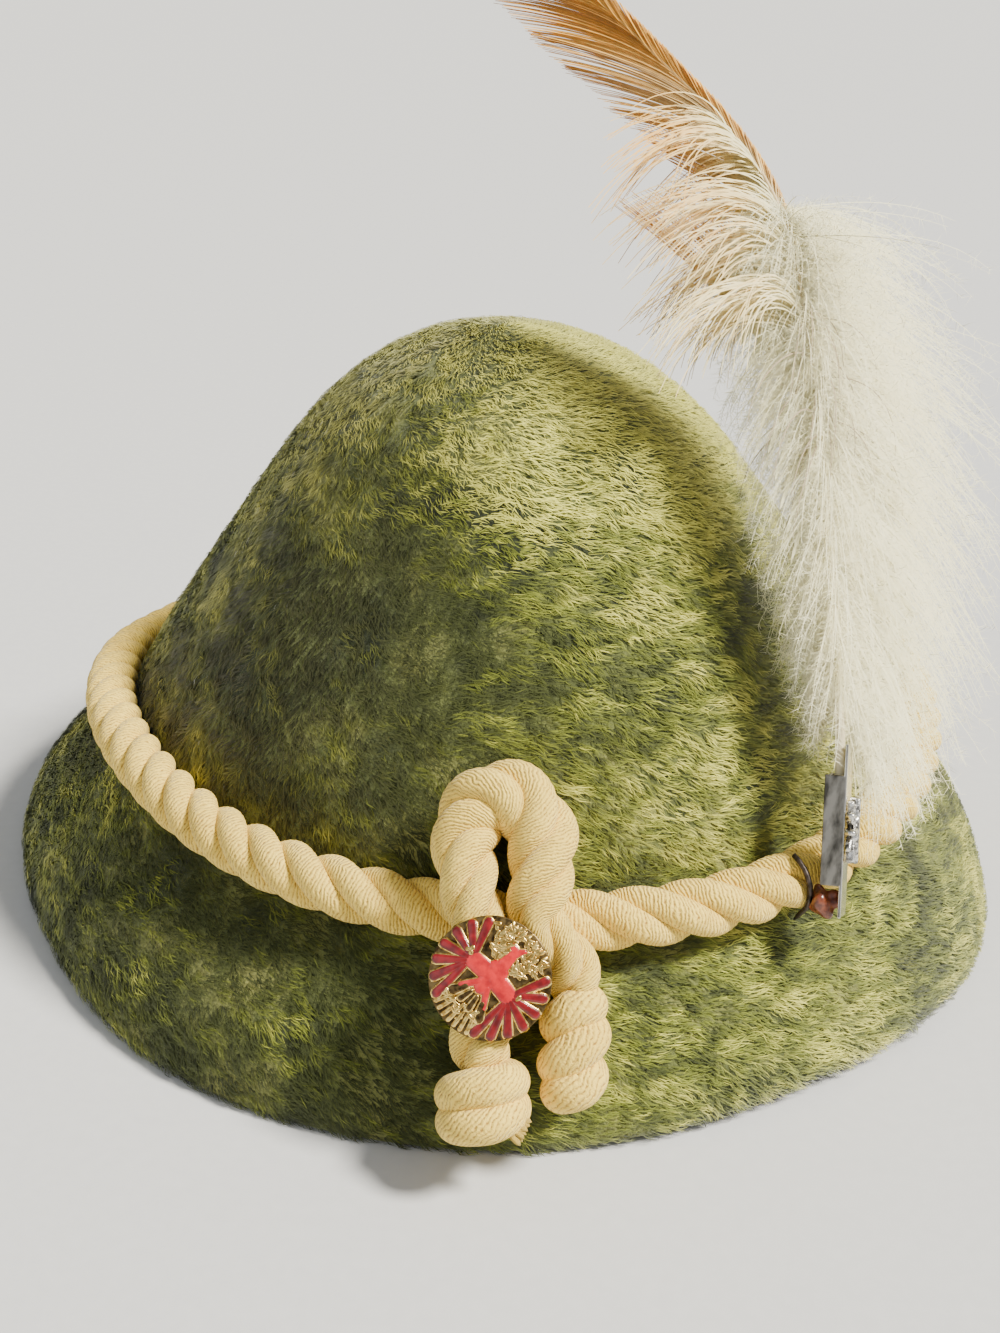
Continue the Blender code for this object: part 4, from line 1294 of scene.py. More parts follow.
    def build_bird(self, plate: BVHTree, place: Matrix) -> None:
        """Build the bird's enamel cells, their gilt walls and the relief round them.

        Args:
            plate: The plate's surface.
            place: The badge's axes.
        """
        reach = self.diameter / 2.0
        turn = Matrix.Rotation(self.turn, 2)
        body, feathers, walls, cells = bmesh.new(), bmesh.new(), bmesh.new(), bmesh.new()
        groups = (
            (body, self.body_forms(), 0.50 * MM, 0.60 * MM),
            (feathers, self.feather_forms(), 0.50 * MM, 0.60 * MM),
            (None, self.fold_forms(), 0.50 * MM, 0.0),
            (cells, self.cell_forms(), 0.55 * MM, 0.62 * MM),
        )
        for cell, forms, rim, fill in groups:
            for start, stop, wide, end in forms:
                path = (turn @ start * reach, turn @ stop * reach)
                inner = (wide * reach, end * reach)
                outer = (inner[0] + self.wall, inner[1] + self.wall)
                relief_finger(walls, plate, place, path, outer, (0.0, rim))
                if cell is not None:
                    relief_finger(cell, plate, place, path, inner, (self.sunk, fill))
        for start, stop, wide, end in self.leaf_forms():
            height = (0.35 + 0.35 * self.random.random()) * MM
            relief_finger(walls, plate, place, (start, stop), (wide, end), (0.0, height))
        for mesh in (body, feathers, walls, cells):
            bmesh.ops.recalc_face_normals(mesh, faces=mesh.faces)
        bright = GlossFinish("bright_enamel", (0.40, 0.006, 0.010), (0.66, 0.016, 0.018)).material()
        deep = GlossFinish("deep_enamel", (0.09, 0.001, 0.002), (0.23, 0.004, 0.006)).material()
        for name, mesh, finish in (("enamel_body", body, bright), ("enamel_feathers", feathers, deep)):
            item = add_piece(name, bmesh_data(name, mesh), finish)
            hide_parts("badge_enamel")
        gilt = MetalFinish("gilt", (0.93, 0.68, 0.22), (0.42, 0.24, 0.05), 0.26, 0.8 * MM).material()
        add_piece("badge_relief", bmesh_data("badge_relief", walls), gilt)
        dark = MetalFinish("dark_gilt", (0.16, 0.10, 0.04), (0.04, 0.025, 0.012), 0.38, 0.8 * MM).material()
        add_piece("badge_cells", bmesh_data("badge_cells", cells), dark)

    def leaf_forms(self) -> list[Form]:
        """Lay out the small leaves that fill the plate above and below the bird.

        Returns:
            Their ends and half widths in metres.
        """
        radius = self.diameter / 2.0
        forms = []
        for leaf in range(self.leaves):
            upper = leaf % 10 != 0
            near, far = (0.12, 0.84) if upper else (0.30, 0.60)
            away = radius * math.sqrt(self.random.uniform(near, far))
            spread = math.radians(38.0 if upper else 30.0)
            clear = math.asin(0.14 * radius / away) if upper and away < radius * 0.76 else 0.0
            offset = self.random.uniform(clear, spread) * self.random.choice((-1.0, 1.0))
            heading = math.radians(48.0 if upper else 228.0) + offset
            start = heading_at(heading) * away
            angle = heading + self.random.uniform(-1.6, 1.6)
            stop = start + heading_at(angle) * radius * 0.09
            forms.append((start, stop, radius * 0.034, radius * 0.022))
        for across, upward in ((-0.34, 0.44), (0.46, -0.30)):
            middle = Vector((across, upward)) * radius
            for petal in range(3):
                angle = TURN * petal / 3.0 + 0.8
                tip = middle + heading_at(angle) * radius * 0.05
                forms.append((middle, tip, radius * 0.03, radius * 0.045))
        return forms


@dataclass
class FeatherClip:
    """The metal clip: folded channel, bright plate, cast ornament, pin and the drop of glue."""

    edge: float = 0.22 * MM
    lump: float = 1.8 * MM
    lump_depth: float = 2.8 * MM
    plate_depth: float = 0.75 * MM
    leaves: int = 11
    brushing: Spot = (1.0, 1.0, 0.12)

    def build(self) -> None:
        """Build the clip's pieces in place of their CAD nodes."""
        dulled = MetalFinish(
            "worn_steel", (0.30, 0.28, 0.24), (0.07, 0.065, 0.055), 0.34, 2.0 * MM, self.brushing
        )
        clip = self.copy_node("feather_clip", "folded_clip", dulled.material(), self.edge)
        self.brighten_plate(clip)
        dark = MetalFinish("dark_pin", (0.10, 0.08, 0.07), (0.03, 0.025, 0.02), 0.5)
        self.copy_node("clip_pin", "cord_pin", dark.material(), 0.0)
        glue = GlossFinish("old_glue", (0.07, 0.012, 0.006), (0.26, 0.07, 0.03), 1.2 * MM)
        drop = self.copy_node("quill_glue", "glue_drop", glue.material(), 0.0)
        self.lump_surface(drop.data)
        self.build_ornament()

    def lump_surface(self, data: bpy.types.Mesh) -> None:
        """Divide a rounded piece finely and push its surface in and out by soft noise.

        Args:
            data: The piece's mesh, which is changed.
        """
        mesh = bmesh.new()
        mesh.from_mesh(data)
        bmesh.ops.subdivide_edges(mesh, edges=mesh.edges, cuts=3, use_grid_fill=True, smooth=0.6)
        places = np.array([list(vertex.co) for vertex in mesh.verts])
        depths = (0.42 - cloud(places, self.lump, 7)) * self.lump_depth
        mesh.normal_update()
        for vertex, depth in zip(mesh.verts, depths):
            vertex.co -= vertex.normal * float(depth)
        mesh.to_mesh(data)
        mesh.free()

    def brighten_plate(self, clip: bpy.types.Object) -> None:
        """Give the long plate on the channel its own polished finish.

        Args:
            clip: The clip's piece, which gets the finish as its second one.
        """
        steel = MetalFinish(
            "bright_steel", (0.92, 0.90, 0.84), (0.66, 0.63, 0.55), 0.20, 2.0 * MM, self.brushing
        )
        clip.data.materials.append(steel.material())
        clip_points = node_points("feather_clip")
        ornament_points = node_points("clip_ornament")
        _, _, rows = np.linalg.svd(ornament_points - ornament_points.mean(axis=0), full_matrices=False)
        out = rows[2] * np.sign(rows[2] @ (ornament_points.mean(axis=0) - clip_points.mean(axis=0)))
        face = (clip_points @ out).max()
        for polygon in clip.data.polygons:
            if face - np.array(polygon.center) @ out < self.plate_depth:
                polygon.material_index = 1

    def copy_node(self, node: str, name: str, material: bpy.types.Material,
                  bevel: float) -> bpy.types.Object:
        """Build a finished copy of a CAD node.

        Args:
            node: The CAD node.
            name: Name of the copy.
            material: Its finish.
            bevel: Width of its worn edges, or 0 for a rounded piece.

        Returns:
            The copy.
        """
        mesh = welded(node)
        if bevel:
            bmesh.ops.dissolve_limit(mesh, angle_limit=math.radians(1.0), verts=mesh.verts, edges=mesh.edges)
            sharp = [edge for edge in mesh.edges if edge.calc_face_angle(0.0) > math.radians(30.0)]
            bmesh.ops.bevel(
                mesh, geom=sharp, offset=bevel, segments=3, profile=0.5, affect="EDGES", material=-1,
                clamp_overlap=True,
            )
        data = bmesh_data(name, mesh)
        if bevel:
            data.shade_flat()
        item = add_piece(name, data, material)
        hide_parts(node)
        return item

    def build_ornament(self) -> None:
        """Build the cast spray of leaves on the clip's plate."""
        points = node_points("clip_ornament")
        middle = points.mean(axis=0)
        _, _, rows = np.linalg.svd(points - middle, full_matrices=False)
        long_axis, wide_axis, out = (Vector(row) for row in rows)
        if long_axis.z < 0.0:
            long_axis.negate()
        if out.dot(Vector(middle - node_points("feather_clip").mean(axis=0))) < 0.0:
            out.negate()
        wide_axis = long_axis.cross(out)
        local = (points - middle) @ np.array([list(wide_axis), list(long_axis), list(out)]).T
        low, high = local.min(axis=0), local.max(axis=0)
        place = Matrix((wide_axis, long_axis, out)).transposed().to_4x4()
        place.translation = Vector(middle) + out * float(low[2])
        mesh = bmesh.new()
        corners = ((-0.05, -0.05), (0.05, -0.05), (0.05, 0.05), (-0.05, 0.05))
        base = BVHTree.FromPolygons([place @ Vector((x, y, 0.0)) for x, y in corners], [(0, 1, 2, 3)])
        half, reach, height = high[0] - low[0], high[1] - low[1], high[2] - low[2]
        for leaf in range(self.leaves):
            angle = TURN * leaf / self.leaves + 0.3
            tip = Vector((math.cos(angle) * half * 0.42, math.sin(angle) * reach * 0.42))
            heights = (0.0, height * (0.5 + 0.2 * (leaf % 3)))
            relief_finger(mesh, base, place, (tip * 0.25, tip), (0.9 * MM, 0.55 * MM), heights)
        stem = (Vector((0.0, -reach * 0.10)), Vector((0.0, reach * 0.14)))
        relief_finger(mesh, base, place, stem, (1.5 * MM, 1.1 * MM), (0.0, height * 0.92))
        bmesh.ops.recalc_face_normals(mesh, faces=mesh.faces)
        silver = MetalFinish(
            "cast_silver", (0.85, 0.83, 0.78), (0.10, 0.09, 0.08), 0.25, 0.9 * MM, relief=0.25 * MM
        )
        item = add_piece("cast_leaves", bmesh_data("cast_leaves", mesh), silver.material())
        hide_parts("clip_ornament")


@dataclass
class FeatherLine:
    """The feather's middle line and edges, read from its CAD node."""

    centres: np.ndarray
    left: np.ndarray
    right: np.ndarray
    lengths: np.ndarray

    @classmethod
    def from_frame(cls) -> "FeatherLine":
        """Read the line from the rings of the CAD feather.

        Returns:
            The feather's line.
        """
        centres, left, right = [], [], []
        for ring in node_rings("feather"):
            if len(ring) < 8:
                continue
            first, second = max(
                ((a, b) for a in ring for b in ring), key=lambda pair: (pair[0] - pair[1]).length
            )
            rest = [point for point in ring if point not in (first, second)]
            wide = (first - second).length > 3.0 * MM
            chosen = rest if wide else ring
            centres.append(sum(chosen, Vector()) / len(chosen))
            left.append(min(first, second, key=lambda point: point.x - 0.8 * point.z))
            right.append(max(first, second, key=lambda point: point.x - 0.8 * point.z))
        rows = [np.array([list(point) for point in points]) for points in (centres, left, right)]
        return cls(*rows, distances(rows[0]))

    def at(self, distances: np.ndarray, rows: np.ndarray) -> np.ndarray:
        """Return points of one of the line's rows at distances along the shaft."""
        return np.column_stack([np.interp(distances, self.lengths, rows[:, axis]) for axis in range(3)])

    def ahead(self, distances: np.ndarray) -> np.ndarray:
        """Return the direction along the shaft at distances."""
        return unit(self.at(distances + 2.0 * MM, self.centres) - self.at(distances - 2.0 * MM, self.centres))


def ribbons(paths: np.ndarray, halves: np.ndarray) -> tuple[np.ndarray, np.ndarray]:
    """Return the vertices and faces of thin ribbons.

    Args:
        paths: Middle lines, as (ribbons, steps, 3).
        halves: Half widths as vectors, as (ribbons, steps, 3).

    Returns:
        Vertices and quads.
    """
    count, steps, _ = paths.shape
    points = np.stack((paths - halves, paths + halves), axis=2).reshape(-1, 3)
    ribbon, step = np.meshgrid(np.arange(count), np.arange(steps - 1), indexing="ij")
    base = (ribbon * steps + step).ravel() * 2
    return points, np.column_stack((base, base + 1, base + 3, base + 2))


@dataclass
class Feather:
    """The golden feather: shaft, vane of single barbs, loose wisps and the white down."""

    shaft_sides: int = 10
    barb_gap: float = 0.27 * MM
    barb_steps: int = 9
    barb_width: float = 0.70 * MM
    vane_start: float = 0.46
    loose_share: float = 0.12
    down_low: float = 0.165
    down_high: float = 0.60
    core_share: float = 0.45
    core_levels: int = 2
    down_barbs: int = 3300
    down_steps: int = 10
    down_width: float = 0.20 * MM
    barbules: int = 38
    barbule_length: float = 2.7 * MM
    barbule_width: float = 0.08 * MM
    wisp_tufts: int = 30
    tuft_barbs: int = 13
    wisp_steps: int = 12
    wisp_width: float = 0.48 * MM
    guard_hairs: int = 26
    golden: Colour = (0.94, 0.48, 0.035)
    brown: Colour = (0.56, 0.23, 0.020)
    cream: Colour = (0.97, 0.86, 0.46)
    white: Colour = (0.99, 0.95, 0.62)
    guard: Colour = (0.36, 0.28, 0.15)
    horn: Colour = (0.80, 0.70, 0.44)
    horn_tip: Colour = (0.60, 0.34, 0.09)
    facing: Spot = (0.42, -0.55, 0.72)
    down_facing: Spot = (0.42, -0.40, 0.80)
    random: np.random.Generator = field(default_factory=lambda: np.random.default_rng(23))

    def build(self) -> None:
        """Build the feather's pieces in place of the CAD nodes."""
        line = FeatherLine.from_frame()
        self.build_shaft(line)
        self.build_vane(line)
        self.build_wisps(line)
        self.build_down(line)

    def build_shaft(self, line: FeatherLine) -> None:
        """Build the quill and its shaft as one tapering rod.

        Args:
            line: The feather's line.
        """
        total = line.lengths[-1]
        at = np.linspace(0.0, total * 0.985, 90)
        centres = line.at(at, line.centres)
        ahead = line.ahead(at)
        side = unit(np.cross(ahead, np.array([0.0, 1.0, 0.0])))
        front = np.cross(side, ahead)
        radii = 1.05 * MM * (1.0 - 0.86 * (at / total) ** 1.1)
        rings = centres[:, None, :] + circles(side, front, self.shaft_sides) * radii[:, None, None]
        data = tube_mesh("feather_shaft", [(rings, at)], closed=False)
        colours = blend_colours(np.array(self.horn), np.array(self.horn_tip), at / total * 2.2 - 0.8)
        set_tints(data, np.repeat(colours, self.shaft_sides, axis=0))
        finish = StrandFinish("quill_horn", 0.35, 0.0, fleck=2.0 * MM, shade=0.85)
        item = add_piece("feather_shaft", data, finish.material())
        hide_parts("feather")

    def faced_ribbons(self, paths: np.ndarray, width: float, taper: np.ndarray) -> Tube:
        """Return ribbons that lie flat to the front.

        Args:
            paths: Middle lines, as (ribbons, steps, 3).
            width: Width of the ribbons at their roots.
            taper: Share of the width at each step.

        Returns:
            Vertices and quads.
        """
        across = np.cross(unit(np.gradient(paths, axis=1)), np.array(self.facing))
        return ribbons(paths, unit(across) * width / 2.0 * taper)

    def build_vane(self, line: FeatherLine) -> None:
        """Build the two sides of the vane from single curved barbs.

        Args:
            line: The feather's line.
        """
        total = line.lengths[-1]
        points, faces, tints = [], [], []
        base = 0
        for side in Side:
            edge_rows = line.left if side is Side.LEFT else line.right
            ends = np.arange(total * self.vane_start, total * 0.998, self.barb_gap)
            edge = line.at(ends, edge_rows)
            reach = np.linalg.norm(edge - line.at(ends, line.centres), axis=1)
            sweep = 2.0 if side is Side.LEFT else 3.6
            starts = ends - reach * sweep
            group = cloud(np.column_stack((ends, ends * 0.0, ends * 0.0)), 3.4 * MM, 40 + side.value)
            split = (group - 0.5) * 5.0 * MM * np.clip(reach / (4.0 * MM) - 1.0, 0.0, 1.0)
            edge = edge + line.ahead(ends) * split[:, None]
            if side is Side.LEFT:
                grown = np.clip((ends / total - self.vane_start) / self.loose_share, 0.0, 1.0)
                kept = 1.0 - (1.0 - grown) * self.random.uniform(0.3, 0.8, len(ends))
                edge = line.at(ends, line.centres) * (1.0 - kept[:, None]) + edge * kept[:, None]
            jitter = self.random.normal(0.0, 0.05 * MM + 0.02 * reach[:, None], (len(ends), 3))
            root = line.at(starts, line.centres)
            bend = root + line.ahead(starts) * (reach * 0.75)[:, None] + (edge - root) * 0.12
            share = np.linspace(0.0, 1.0, self.barb_steps)[None, :, None]
            paths = root[:, None] * (1 - share) ** 2 + bend[:, None] * 2 * share * (1 - share)
            paths = paths + (edge + jitter)[:, None] * share**2
            paths[:, :, 1] += self.random.normal(0.0, 0.10 * MM, len(ends))[:, None]
            made, quads = self.faced_ribbons(paths, self.barb_width, 1.0 - 0.75 * share**2)
            points.append(made)
            faces.append(quads + base)
            base += len(made)
            tints.append(self.vane_tints(starts / total, group, side))
        finish = StrandFinish("feather_barbs", 0.5, 0.3, fleck=2.0 * MM, shade=0.8).material()
        data = joined_mesh("feather_vane", np.vstack(points), np.vstack(faces), np.vstack(tints))
        soft_normals(data, np.tile(self.facing, (len(data.vertices), 1)))
        item = add_piece("feather_vane", data, finish)
        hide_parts("feather")

    def vane_tints(self, place: np.ndarray, group: np.ndarray, side: Side) -> np.ndarray:
        """Return the colours of vane barbs: cream low on the feather and near the shaft, golden outside.

        Args:
            place: Where the barbs start, as shares of the feather's length.
            group: Value between 0 and 1 of the tuft that each barb is in.
            side: Side of the shaft.

        Returns:
            One colour for each vertex of the barbs.
        """
        golden, brown, cream = np.array(self.golden), np.array(self.brown), np.array(self.cream)
        outer = blend_colours(golden, brown, group * 1.1 - 0.35 + self.random.normal(0.0, 0.18, len(place)))
        low, span = (0.78, 0.20) if side is Side.LEFT else (0.72, 0.12)
        pale = np.clip((low - place) / span, 0.0, 1.0)
        rows = []
        for step in np.linspace(0.0, 1.0, self.barb_steps):
            mix = np.clip(pale * (1.45 - 1.35 * step), 0.0, 1.0)
            rows.append(blend_colours(outer, cream, mix))
        return np.repeat(np.stack(rows, axis=1), 2, axis=1).reshape(-1, 3)

    def swept_paths(self, roots: np.ndarray, outward: np.ndarray, lengths: np.ndarray, angles: np.ndarray,
                    steps: int) -> np.ndarray:
        """Return middle lines of barbs that bend from one climb to another on their way out.

        Args:
            roots: Where the barbs start.
            outward: Their level directions.
            lengths: Their lengths.
            angles: Their climbs in degrees at the root and at the tip, one row each.
            steps: Number of points along each.

        Returns:
            The middle lines, as (barbs, steps, 3).
        """
        share = np.linspace(0.0, 1.0, steps - 1)[None, :]
        climb = np.radians(angles[:, :1] * (1.0 - share) + angles[:, 1:] * share)
        bend = self.random.normal(0.0, math.radians(20.0), (len(roots), 1)) * share
        beside = np.cross(outward, np.array([0.0, 0.0, 1.0]))
        level = outward[:, None] * np.cos(bend)[:, :, None] + beside[:, None] * np.sin(bend)[:, :, None]
        heading = level * np.cos(climb)[:, :, None]
        heading[:, :, 2] += np.sin(climb)
        run = np.cumsum(heading * (lengths / (steps - 1))[:, None, None], axis=1)
        return np.concatenate((roots[:, None], roots[:, None] + run), axis=1)

    def spine_at(self, line: FeatherLine, place: np.ndarray) -> tuple[np.ndarray, np.ndarray, np.ndarray]:
        """Return places on the shaft with their axes.

        Args:
            line: The feather's line.
            place: Shares of the shaft's length.

        Returns:
            Points of the shaft, its right and its front, one row for each share.
        """
        total = line.lengths[-1]
        ahead = line.ahead(place * total)
        right = unit(np.cross(np.array([0.0, 1.0, 0.0]), ahead))
        return line.at(place * total, line.centres), right, np.cross(right, ahead)

    @staticmethod
    def turned_out(right: np.ndarray, front: np.ndarray, degrees: np.ndarray) -> np.ndarray:
        """Return directions out of the shaft, turned from its front towards its right by angles."""
        facing = np.radians(degrees)[:, None]
        return unit(right * np.sin(facing) + front * np.cos(facing))

    def wisp_paths(self, line: FeatherLine, rise: np.ndarray, tuft_place: np.ndarray) -> np.ndarray:
        """Return the middle lines of the loose barbs left of the shaft.

        Args:
            line: The feather's line.
            rise: How high each barb starts, as shares of the part that has wisps.
            tuft_place: The same for each tuft.

        Returns:
            The middle lines, as (barbs, steps, 3).
        """
        count = len(rise)
        root, right, front = self.spine_at(line, 0.47 + 0.22 * np.clip(rise, 0.0, 1.0))
        facing = np.repeat(self.random.normal(-78.0, 16.0, self.wisp_tufts), self.tuft_barbs)
        outward = self.turned_out(right, front, facing + self.random.normal(0.0, 3.0, count))
        lengths = self.random.uniform(22.0, 36.0, self.wisp_tufts) + 11.0 * tuft_place
        lengths = np.repeat(lengths, self.tuft_barbs) * self.random.uniform(0.70, 1.1, count) * MM
        droop = np.repeat(self.random.normal(0.0, 14.0, self.wisp_tufts), self.tuft_barbs)
        first = 42.0 + 10.0 * rise + self.random.normal(0.0, 4.0, count)
        last = -72.0 + 74.0 * rise + droop + self.random.normal(0.0, 5.0, count)
        return self.swept_paths(root, outward, lengths, np.column_stack((first, last)), self.wisp_steps)

    def guard_paths(self, line: FeatherLine) -> np.ndarray:
        """Return the middle lines of the few dark guard hairs.

        Args:
            line: The feather's line.

        Returns:
            The middle lines, as (hairs, steps, 3).
        """
        count = self.guard_hairs
        root, right, front = self.spine_at(line, self.random.uniform(0.38, 0.56, count))
        outward = self.turned_out(right, front, self.random.normal(10.0, 40.0, count))
        angles = np.column_stack((self.random.normal(-10.0, 15.0, count), np.full(count, -84.0)))
        lengths = self.random.uniform(22.0, 36.0, count) * MM
        return self.swept_paths(root, outward, lengths, angles, self.wisp_steps)

    def build_wisps(self, line: FeatherLine) -> None:
        """Build the long loose barbs left of the shaft, in tufts that lift and then fall.

        Args:
            line: The feather's line.
        """
        count, steps = self.wisp_tufts * self.tuft_barbs, self.wisp_steps
        tuft_place = self.random.uniform(0.0, 1.0, self.wisp_tufts)
        rise = np.repeat(tuft_place, self.tuft_barbs) + self.random.normal(0.0, 0.025, count)
        paths = self.wisp_paths(line, rise, tuft_place)
        paths = np.concatenate((paths, self.guard_paths(line)))
        share = np.linspace(0.0, 1.0, steps)[None, :, None]
        points, faces = self.faced_ribbons(paths, self.wisp_width, 1.0 - 0.75 * share)
        golden = np.array(self.golden) * 0.9 + 0.05
        tan = np.clip(0.15 + rise * 0.80 + self.random.normal(0.0, 0.15, count), 0.0, 1.0)
        mixes = tan[:, None] * np.clip(np.linspace(-0.35, 1.5, steps), 0.0, 1.0)[None, :]
        pale = blend_colours(np.array(self.cream), golden, mixes.ravel()).reshape(count, steps, 3)
        guards = np.tile(self.guard, (self.guard_hairs, steps, 1))
        tints = np.repeat(np.concatenate((pale, guards)), 2, axis=1).reshape(-1, 3)
        finish = StrandFinish("loose_barbs", 0.5, 0.3, fleck=2.0 * MM, shade=0.85).material()
        data = joined_mesh("feather_wisps", points, faces, tints)
        soft_normals(data, np.tile(self.facing, (len(data.vertices), 1)))
        item = add_piece("feather_wisps", data, finish)
        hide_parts("feather")

    def down_paths(self, line: FeatherLine) -> tuple[np.ndarray, np.ndarray]:
        """Return the down's barbs: long and slanting on the right, short and hanging elsewhere.

        Args:
            line: The feather's line.

        Returns:
            The barbs' middle lines, and the way out of the plume at each barb.
        """
        count = self.down_barbs
        rise = self.random.random(count)
        root, right, front = self.spine_at(line, self.down_low + (self.down_high - self.down_low) * rise)
        kind = self.random.random(count)
        to_right, to_front = kind < 0.54, kind > 0.80
        sides = [to_right, to_front]
        middle = np.select(sides, [np.full(count, 74.0), np.where(kind < 0.93, 8.0, 172.0)], -66.0)
        spread = np.where(to_front, 30.0, 20.0)
        outward = self.turned_out(right, front, middle + spread * self.random.normal(0.0, 1.0, count))
        swell = np.sin(math.pi * np.clip(0.12 + 0.72 * rise, 0.0, 1.0))
        left_lengths = 11.0 + 9.0 * swell + 4.0 * rise
        lengths = np.select(sides, [25.0 + 29.0 * swell, 15.0 + 11.0 * swell], left_lengths)
        lengths = lengths * self.random.uniform(0.45, 1.12, count) * MM
        first = np.select(sides, [-58.0 + 36.0 * rise, -50.0 + 50.0 * rise], -62.0 + 92.0 * rise)
        last = np.select(sides, [-72.0 + 22.0 * rise, np.full(count, -86.0)], -88.0 + 8.0 * rise)
        angles = np.column_stack((first, last)) + self.random.normal(0.0, 9.0, (count, 2))
        return self.swept_paths(root, outward, lengths, angles, self.down_steps), outward

    def build_down(self, line: FeatherLine) -> None:
        """Build the down: curved barbs with fine barbules on both their sides.

        Args:
            line: The feather's line.
        """
        paths, outward = self.down_paths(line)
        count, steps, _ = paths.shape
        share = np.linspace(0.0, 1.0, steps)[None, :, None]
        along = unit(np.gradient(paths, axis=1))
        across = unit(np.cross(along, np.array([0.0, 1.0, 0.0])))
        upright = unit(outward * 0.45 + np.array(self.down_facing))
        sign = facing_sign(across, along, upright[:, None]).mean(axis=1, keepdims=True).round()
        across = np.where(sign == 0.0, np.cross(along, upright[:, None]), across * sign)
        points, faces = ribbons(paths, unit(across) * self.down_width / 2.0 * (1.0 - 0.75 * share))
        white, cream = np.array(self.white), np.array(self.cream)
        tint = blend_colours(white, cream, self.random.random(count) ** 2 * 0.6)
        finish = StrandFinish("white_down", 0.6, 0.4, fleck=4.0 * MM, shade=0.92).material()
        data = joined_mesh("down_barbs", points, faces, np.repeat(tint, steps * 2, axis=0))
        soft_normals(data, np.repeat(upright, steps * 2, axis=0))
        item = add_piece("down_barbs", data, finish)
        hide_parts("feather_down")
        self.build_barbules(paths, along, across, tint, upright, finish)
        self.build_core(line, finish)

    def build_core(self, line: FeatherLine, finish: bpy.types.Material) -> None:
        """Build the close down round the shaft as one soft form inside the loose barbs.

        Args:
            line: The feather's line.
            finish: The down's material.
        """
        mesh = welded("feather_down")
        along = np.linspace(0.0, line.lengths[-1], 200)
        spine = line.at(along, line.centres)
        for vertex in mesh.verts:
            place = np.array(vertex.co)
            nearest = spine[np.argmin(np.linalg.norm(spine - place, axis=1))]
            vertex.co = Vector(nearest + (place - nearest) * self.core_share)
        bmesh.ops.recalc_face_normals(mesh, faces=mesh.faces)
        data = bmesh_data("down_core", mesh)
        set_tints(data, self.white)
        item = add_piece("down_core", data, finish)
        subdivide(item, self.core_levels)
        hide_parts("feather_down")

    def build_barbules(self, paths: np.ndarray, along: np.ndarray, across: np.ndarray, tint: np.ndarray,
                       upright: np.ndarray, finish: bpy.types.Material) -> None:
        """Build the fine hairs along the down's barbs.

        Args:
            paths: Middle lines of the barbs.
            along: Direction along them.
            across: Direction across them.
            tint: Colour of each barb.
            upright: Direction that each barb's fibres face.
            finish: The down's material.
        """
        count, steps, _ = paths.shape
        total = count * self.barbules
        barb = np.repeat(np.arange(count), self.barbules)
        at = self.random.random(total) * (steps - 1.001)
        step = at.astype(int)
        share = (at - step)[:, None]
        root = paths[barb, step] * (1.0 - share) + paths[barb, step + 1] * share
        hand = np.where(self.random.random(total) < 0.5, -1.0, 1.0)[:, None]
        spread = across[barb, step] * hand * self.random.uniform(0.5, 1.0, (total, 1))
        spread += along[barb, step] * 0.75
        spread = unit(spread + self.random.normal(0.0, 0.35, (total, 3)))
        length = self.barbule_length * self.random.uniform(0.5, 1.2, (total, 1))
        tip = root + spread * length
        half = along[barb, step] * self.barbule_width / 2.0
        half = half * facing_sign(half, spread, upright[barb])
        points = np.stack((root - half, root + half, tip), axis=1).reshape(-1, 3)
        corners = np.arange(total * 3).reshape(-1, 3)
        data = joined_mesh("down_barbules", points, corners, np.repeat(tint[barb], 3, axis=0))
        soft_normals(data, np.repeat(upright[barb], 3, axis=0))
        item = add_piece("down_barbules", data, finish)
        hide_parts("feather_down")


@dataclass(frozen=True)
class Lamp:
    """One light of the studio: where it hangs, what it aims at, and its width, or its angle for a sun."""

    name: str
    kind: LampKind
    place: Spot
    target: Spot
    spread: float
    power: float
    colour: Colour

    def build(self) -> None:
        """Add the light to the scene."""
        data = bpy.data.lights.new(self.name, self.kind.value)
        if self.kind is LampKind.SUN:
            data.angle = self.spread
        else:
            data.size = self.spread
        data.energy = self.power
        data.color = self.colour
        item = add_object(self.name, data)
        item.location = self.place
        aim = Vector(self.target) - Vector(self.place)
        item.rotation_euler = aim.to_track_quat("-Z", "Y").to_euler()


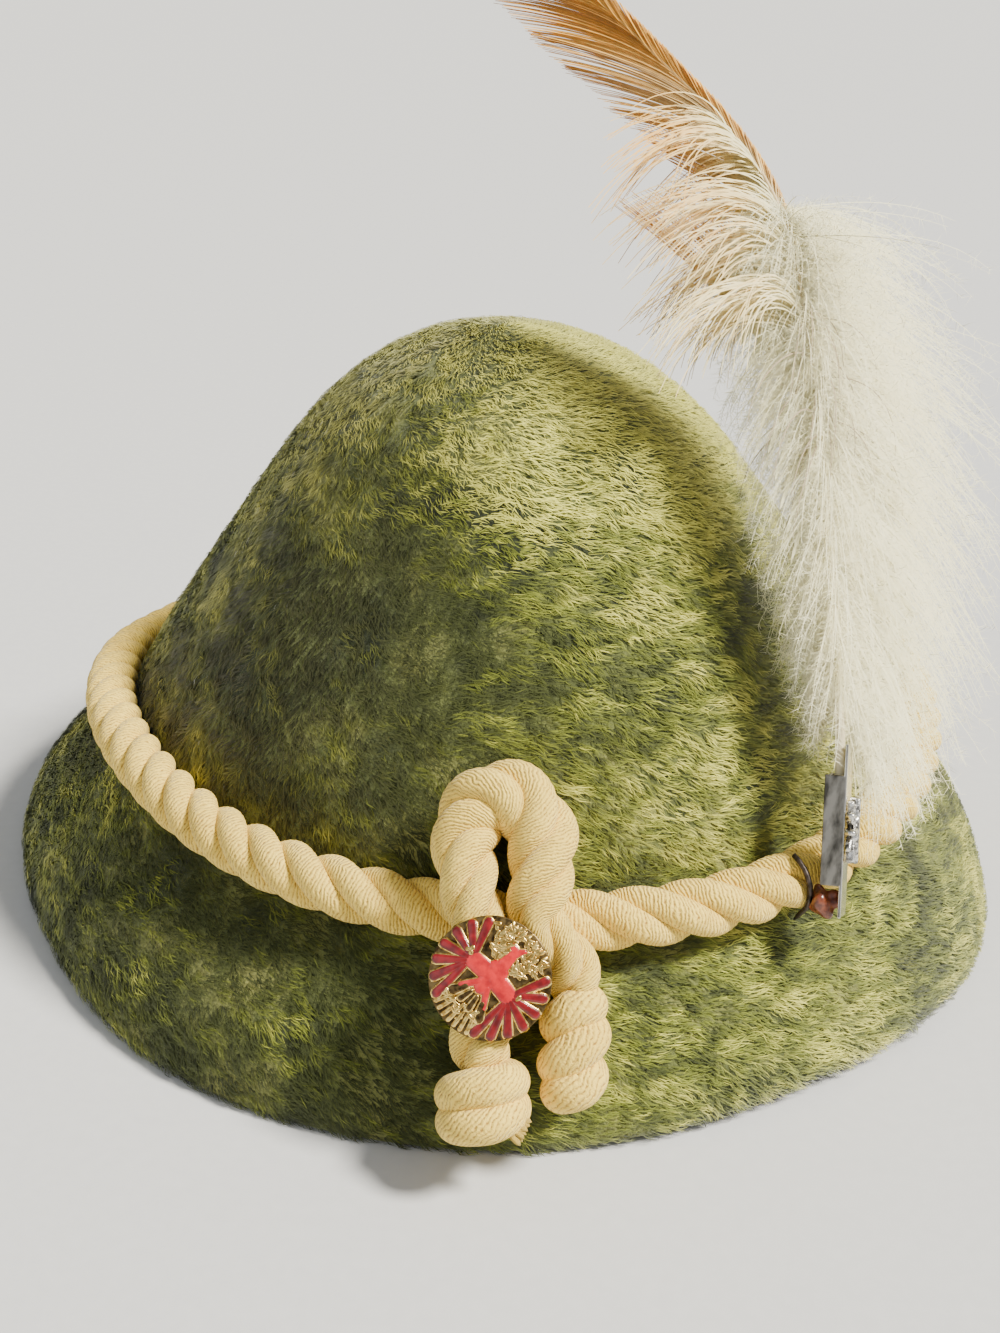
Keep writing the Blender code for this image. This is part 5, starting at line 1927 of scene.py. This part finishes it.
@dataclass
class Studio:
    """The pale floor, the soft lights and the camera at the photograph's angle."""

    camera_place: Spot = (7.9 * MM, -353.7 * MM, 209.4 * MM)
    yaw: float = math.radians(-1.1)
    pitch: float = math.radians(25.0)
    roll: float = math.radians(1.4)
    lens: float = 43.2
    floor_colour: Colour = (0.62, 0.62, 0.61)
    floor_size: float = 60.0
    key: Lamp = Lamp(
        "key", LampKind.SUN, (0.62, -0.14, 0.77), (0.0, 0.0, 0.0), math.radians(12.0), 9.0, (1.0, 0.96, 0.87)
    )
    fill: Lamp = Lamp(
        "fill", LampKind.AREA, (-0.70, -0.75, 0.55), (0.0, 0.0, 0.07), 0.9, 2.0, (0.92, 0.96, 1.0)
    )
    sky: Colour = (0.88, 0.90, 0.92)
    sky_power: float = 0.50

    def build(self) -> None:
        """Build the floor, the lights and the camera."""
        self.build_floor()
        self.key.build()
        self.fill.build()
        world = bpy.data.worlds.new("studio")
        world.use_nodes = True
        background = world.node_tree.nodes["Background"]
        background.inputs["Color"].default_value = (*self.sky, 1.0)
        background.inputs["Strength"].default_value = self.sky_power
        bpy.context.scene.world = world
        self.build_camera()

    def build_floor(self) -> None:
        """Build the wide pale floor."""
        mesh = bmesh.new()
        bmesh.ops.create_grid(mesh, x_segments=1, y_segments=1, size=self.floor_size)
        sheet = ShaderSheet("pale_floor", 0.85)
        grain = sheet.noise(3.0 * MM, 3.0)
        pale = self.floor_colour
        sheet.colour(sheet.ramp(grain, [(0.3, tuple(value * 0.96 for value in pale)), (0.7, pale)]))
        data = bmesh_data("floor", mesh)
        data.materials.append(sheet.material)
        item = add_object("floor", data)

    def build_camera(self) -> None:
        """Add the camera, turned as the photograph's."""
        ahead = Vector((
            math.sin(self.yaw) * math.cos(self.pitch),
            math.cos(self.yaw) * math.cos(self.pitch),
            -math.sin(self.pitch),
        ))
        right = Vector((math.cos(self.yaw), -math.sin(self.yaw), 0.0))
        up = right.cross(ahead)
        right_rolled = right * math.cos(self.roll) + up * math.sin(self.roll)
        up_rolled = up * math.cos(self.roll) - right * math.sin(self.roll)
        place = Matrix((right_rolled, up_rolled, -ahead)).transposed().to_4x4()
        place.translation = Vector(self.camera_place)
        data = bpy.data.cameras.new("camera")
        data.lens = self.lens
        data.sensor_width = 36.0
        data.clip_start = 0.01
        item = add_object("camera", data)
        item.matrix_world = place
        bpy.context.scene.camera = item


def main() -> None:
    """Build the hat piece by piece and then the studio round it."""
    logging.basicConfig(level=logging.INFO, format="%(message)s")
    Studio().build()
    HatCord().build()
    Bow().build()
    EndKnot("left_end_knot", "round_knot", bands=2, frayed_ends=7).build()
    EndKnot("right_end_knot", "long_knot", bands=3, slant=0.34).build()
    Badge().build()
    FeatherClip().build()
    Feather().build()
    FeltBody().build()


if __name__ == "__main__":
    main()
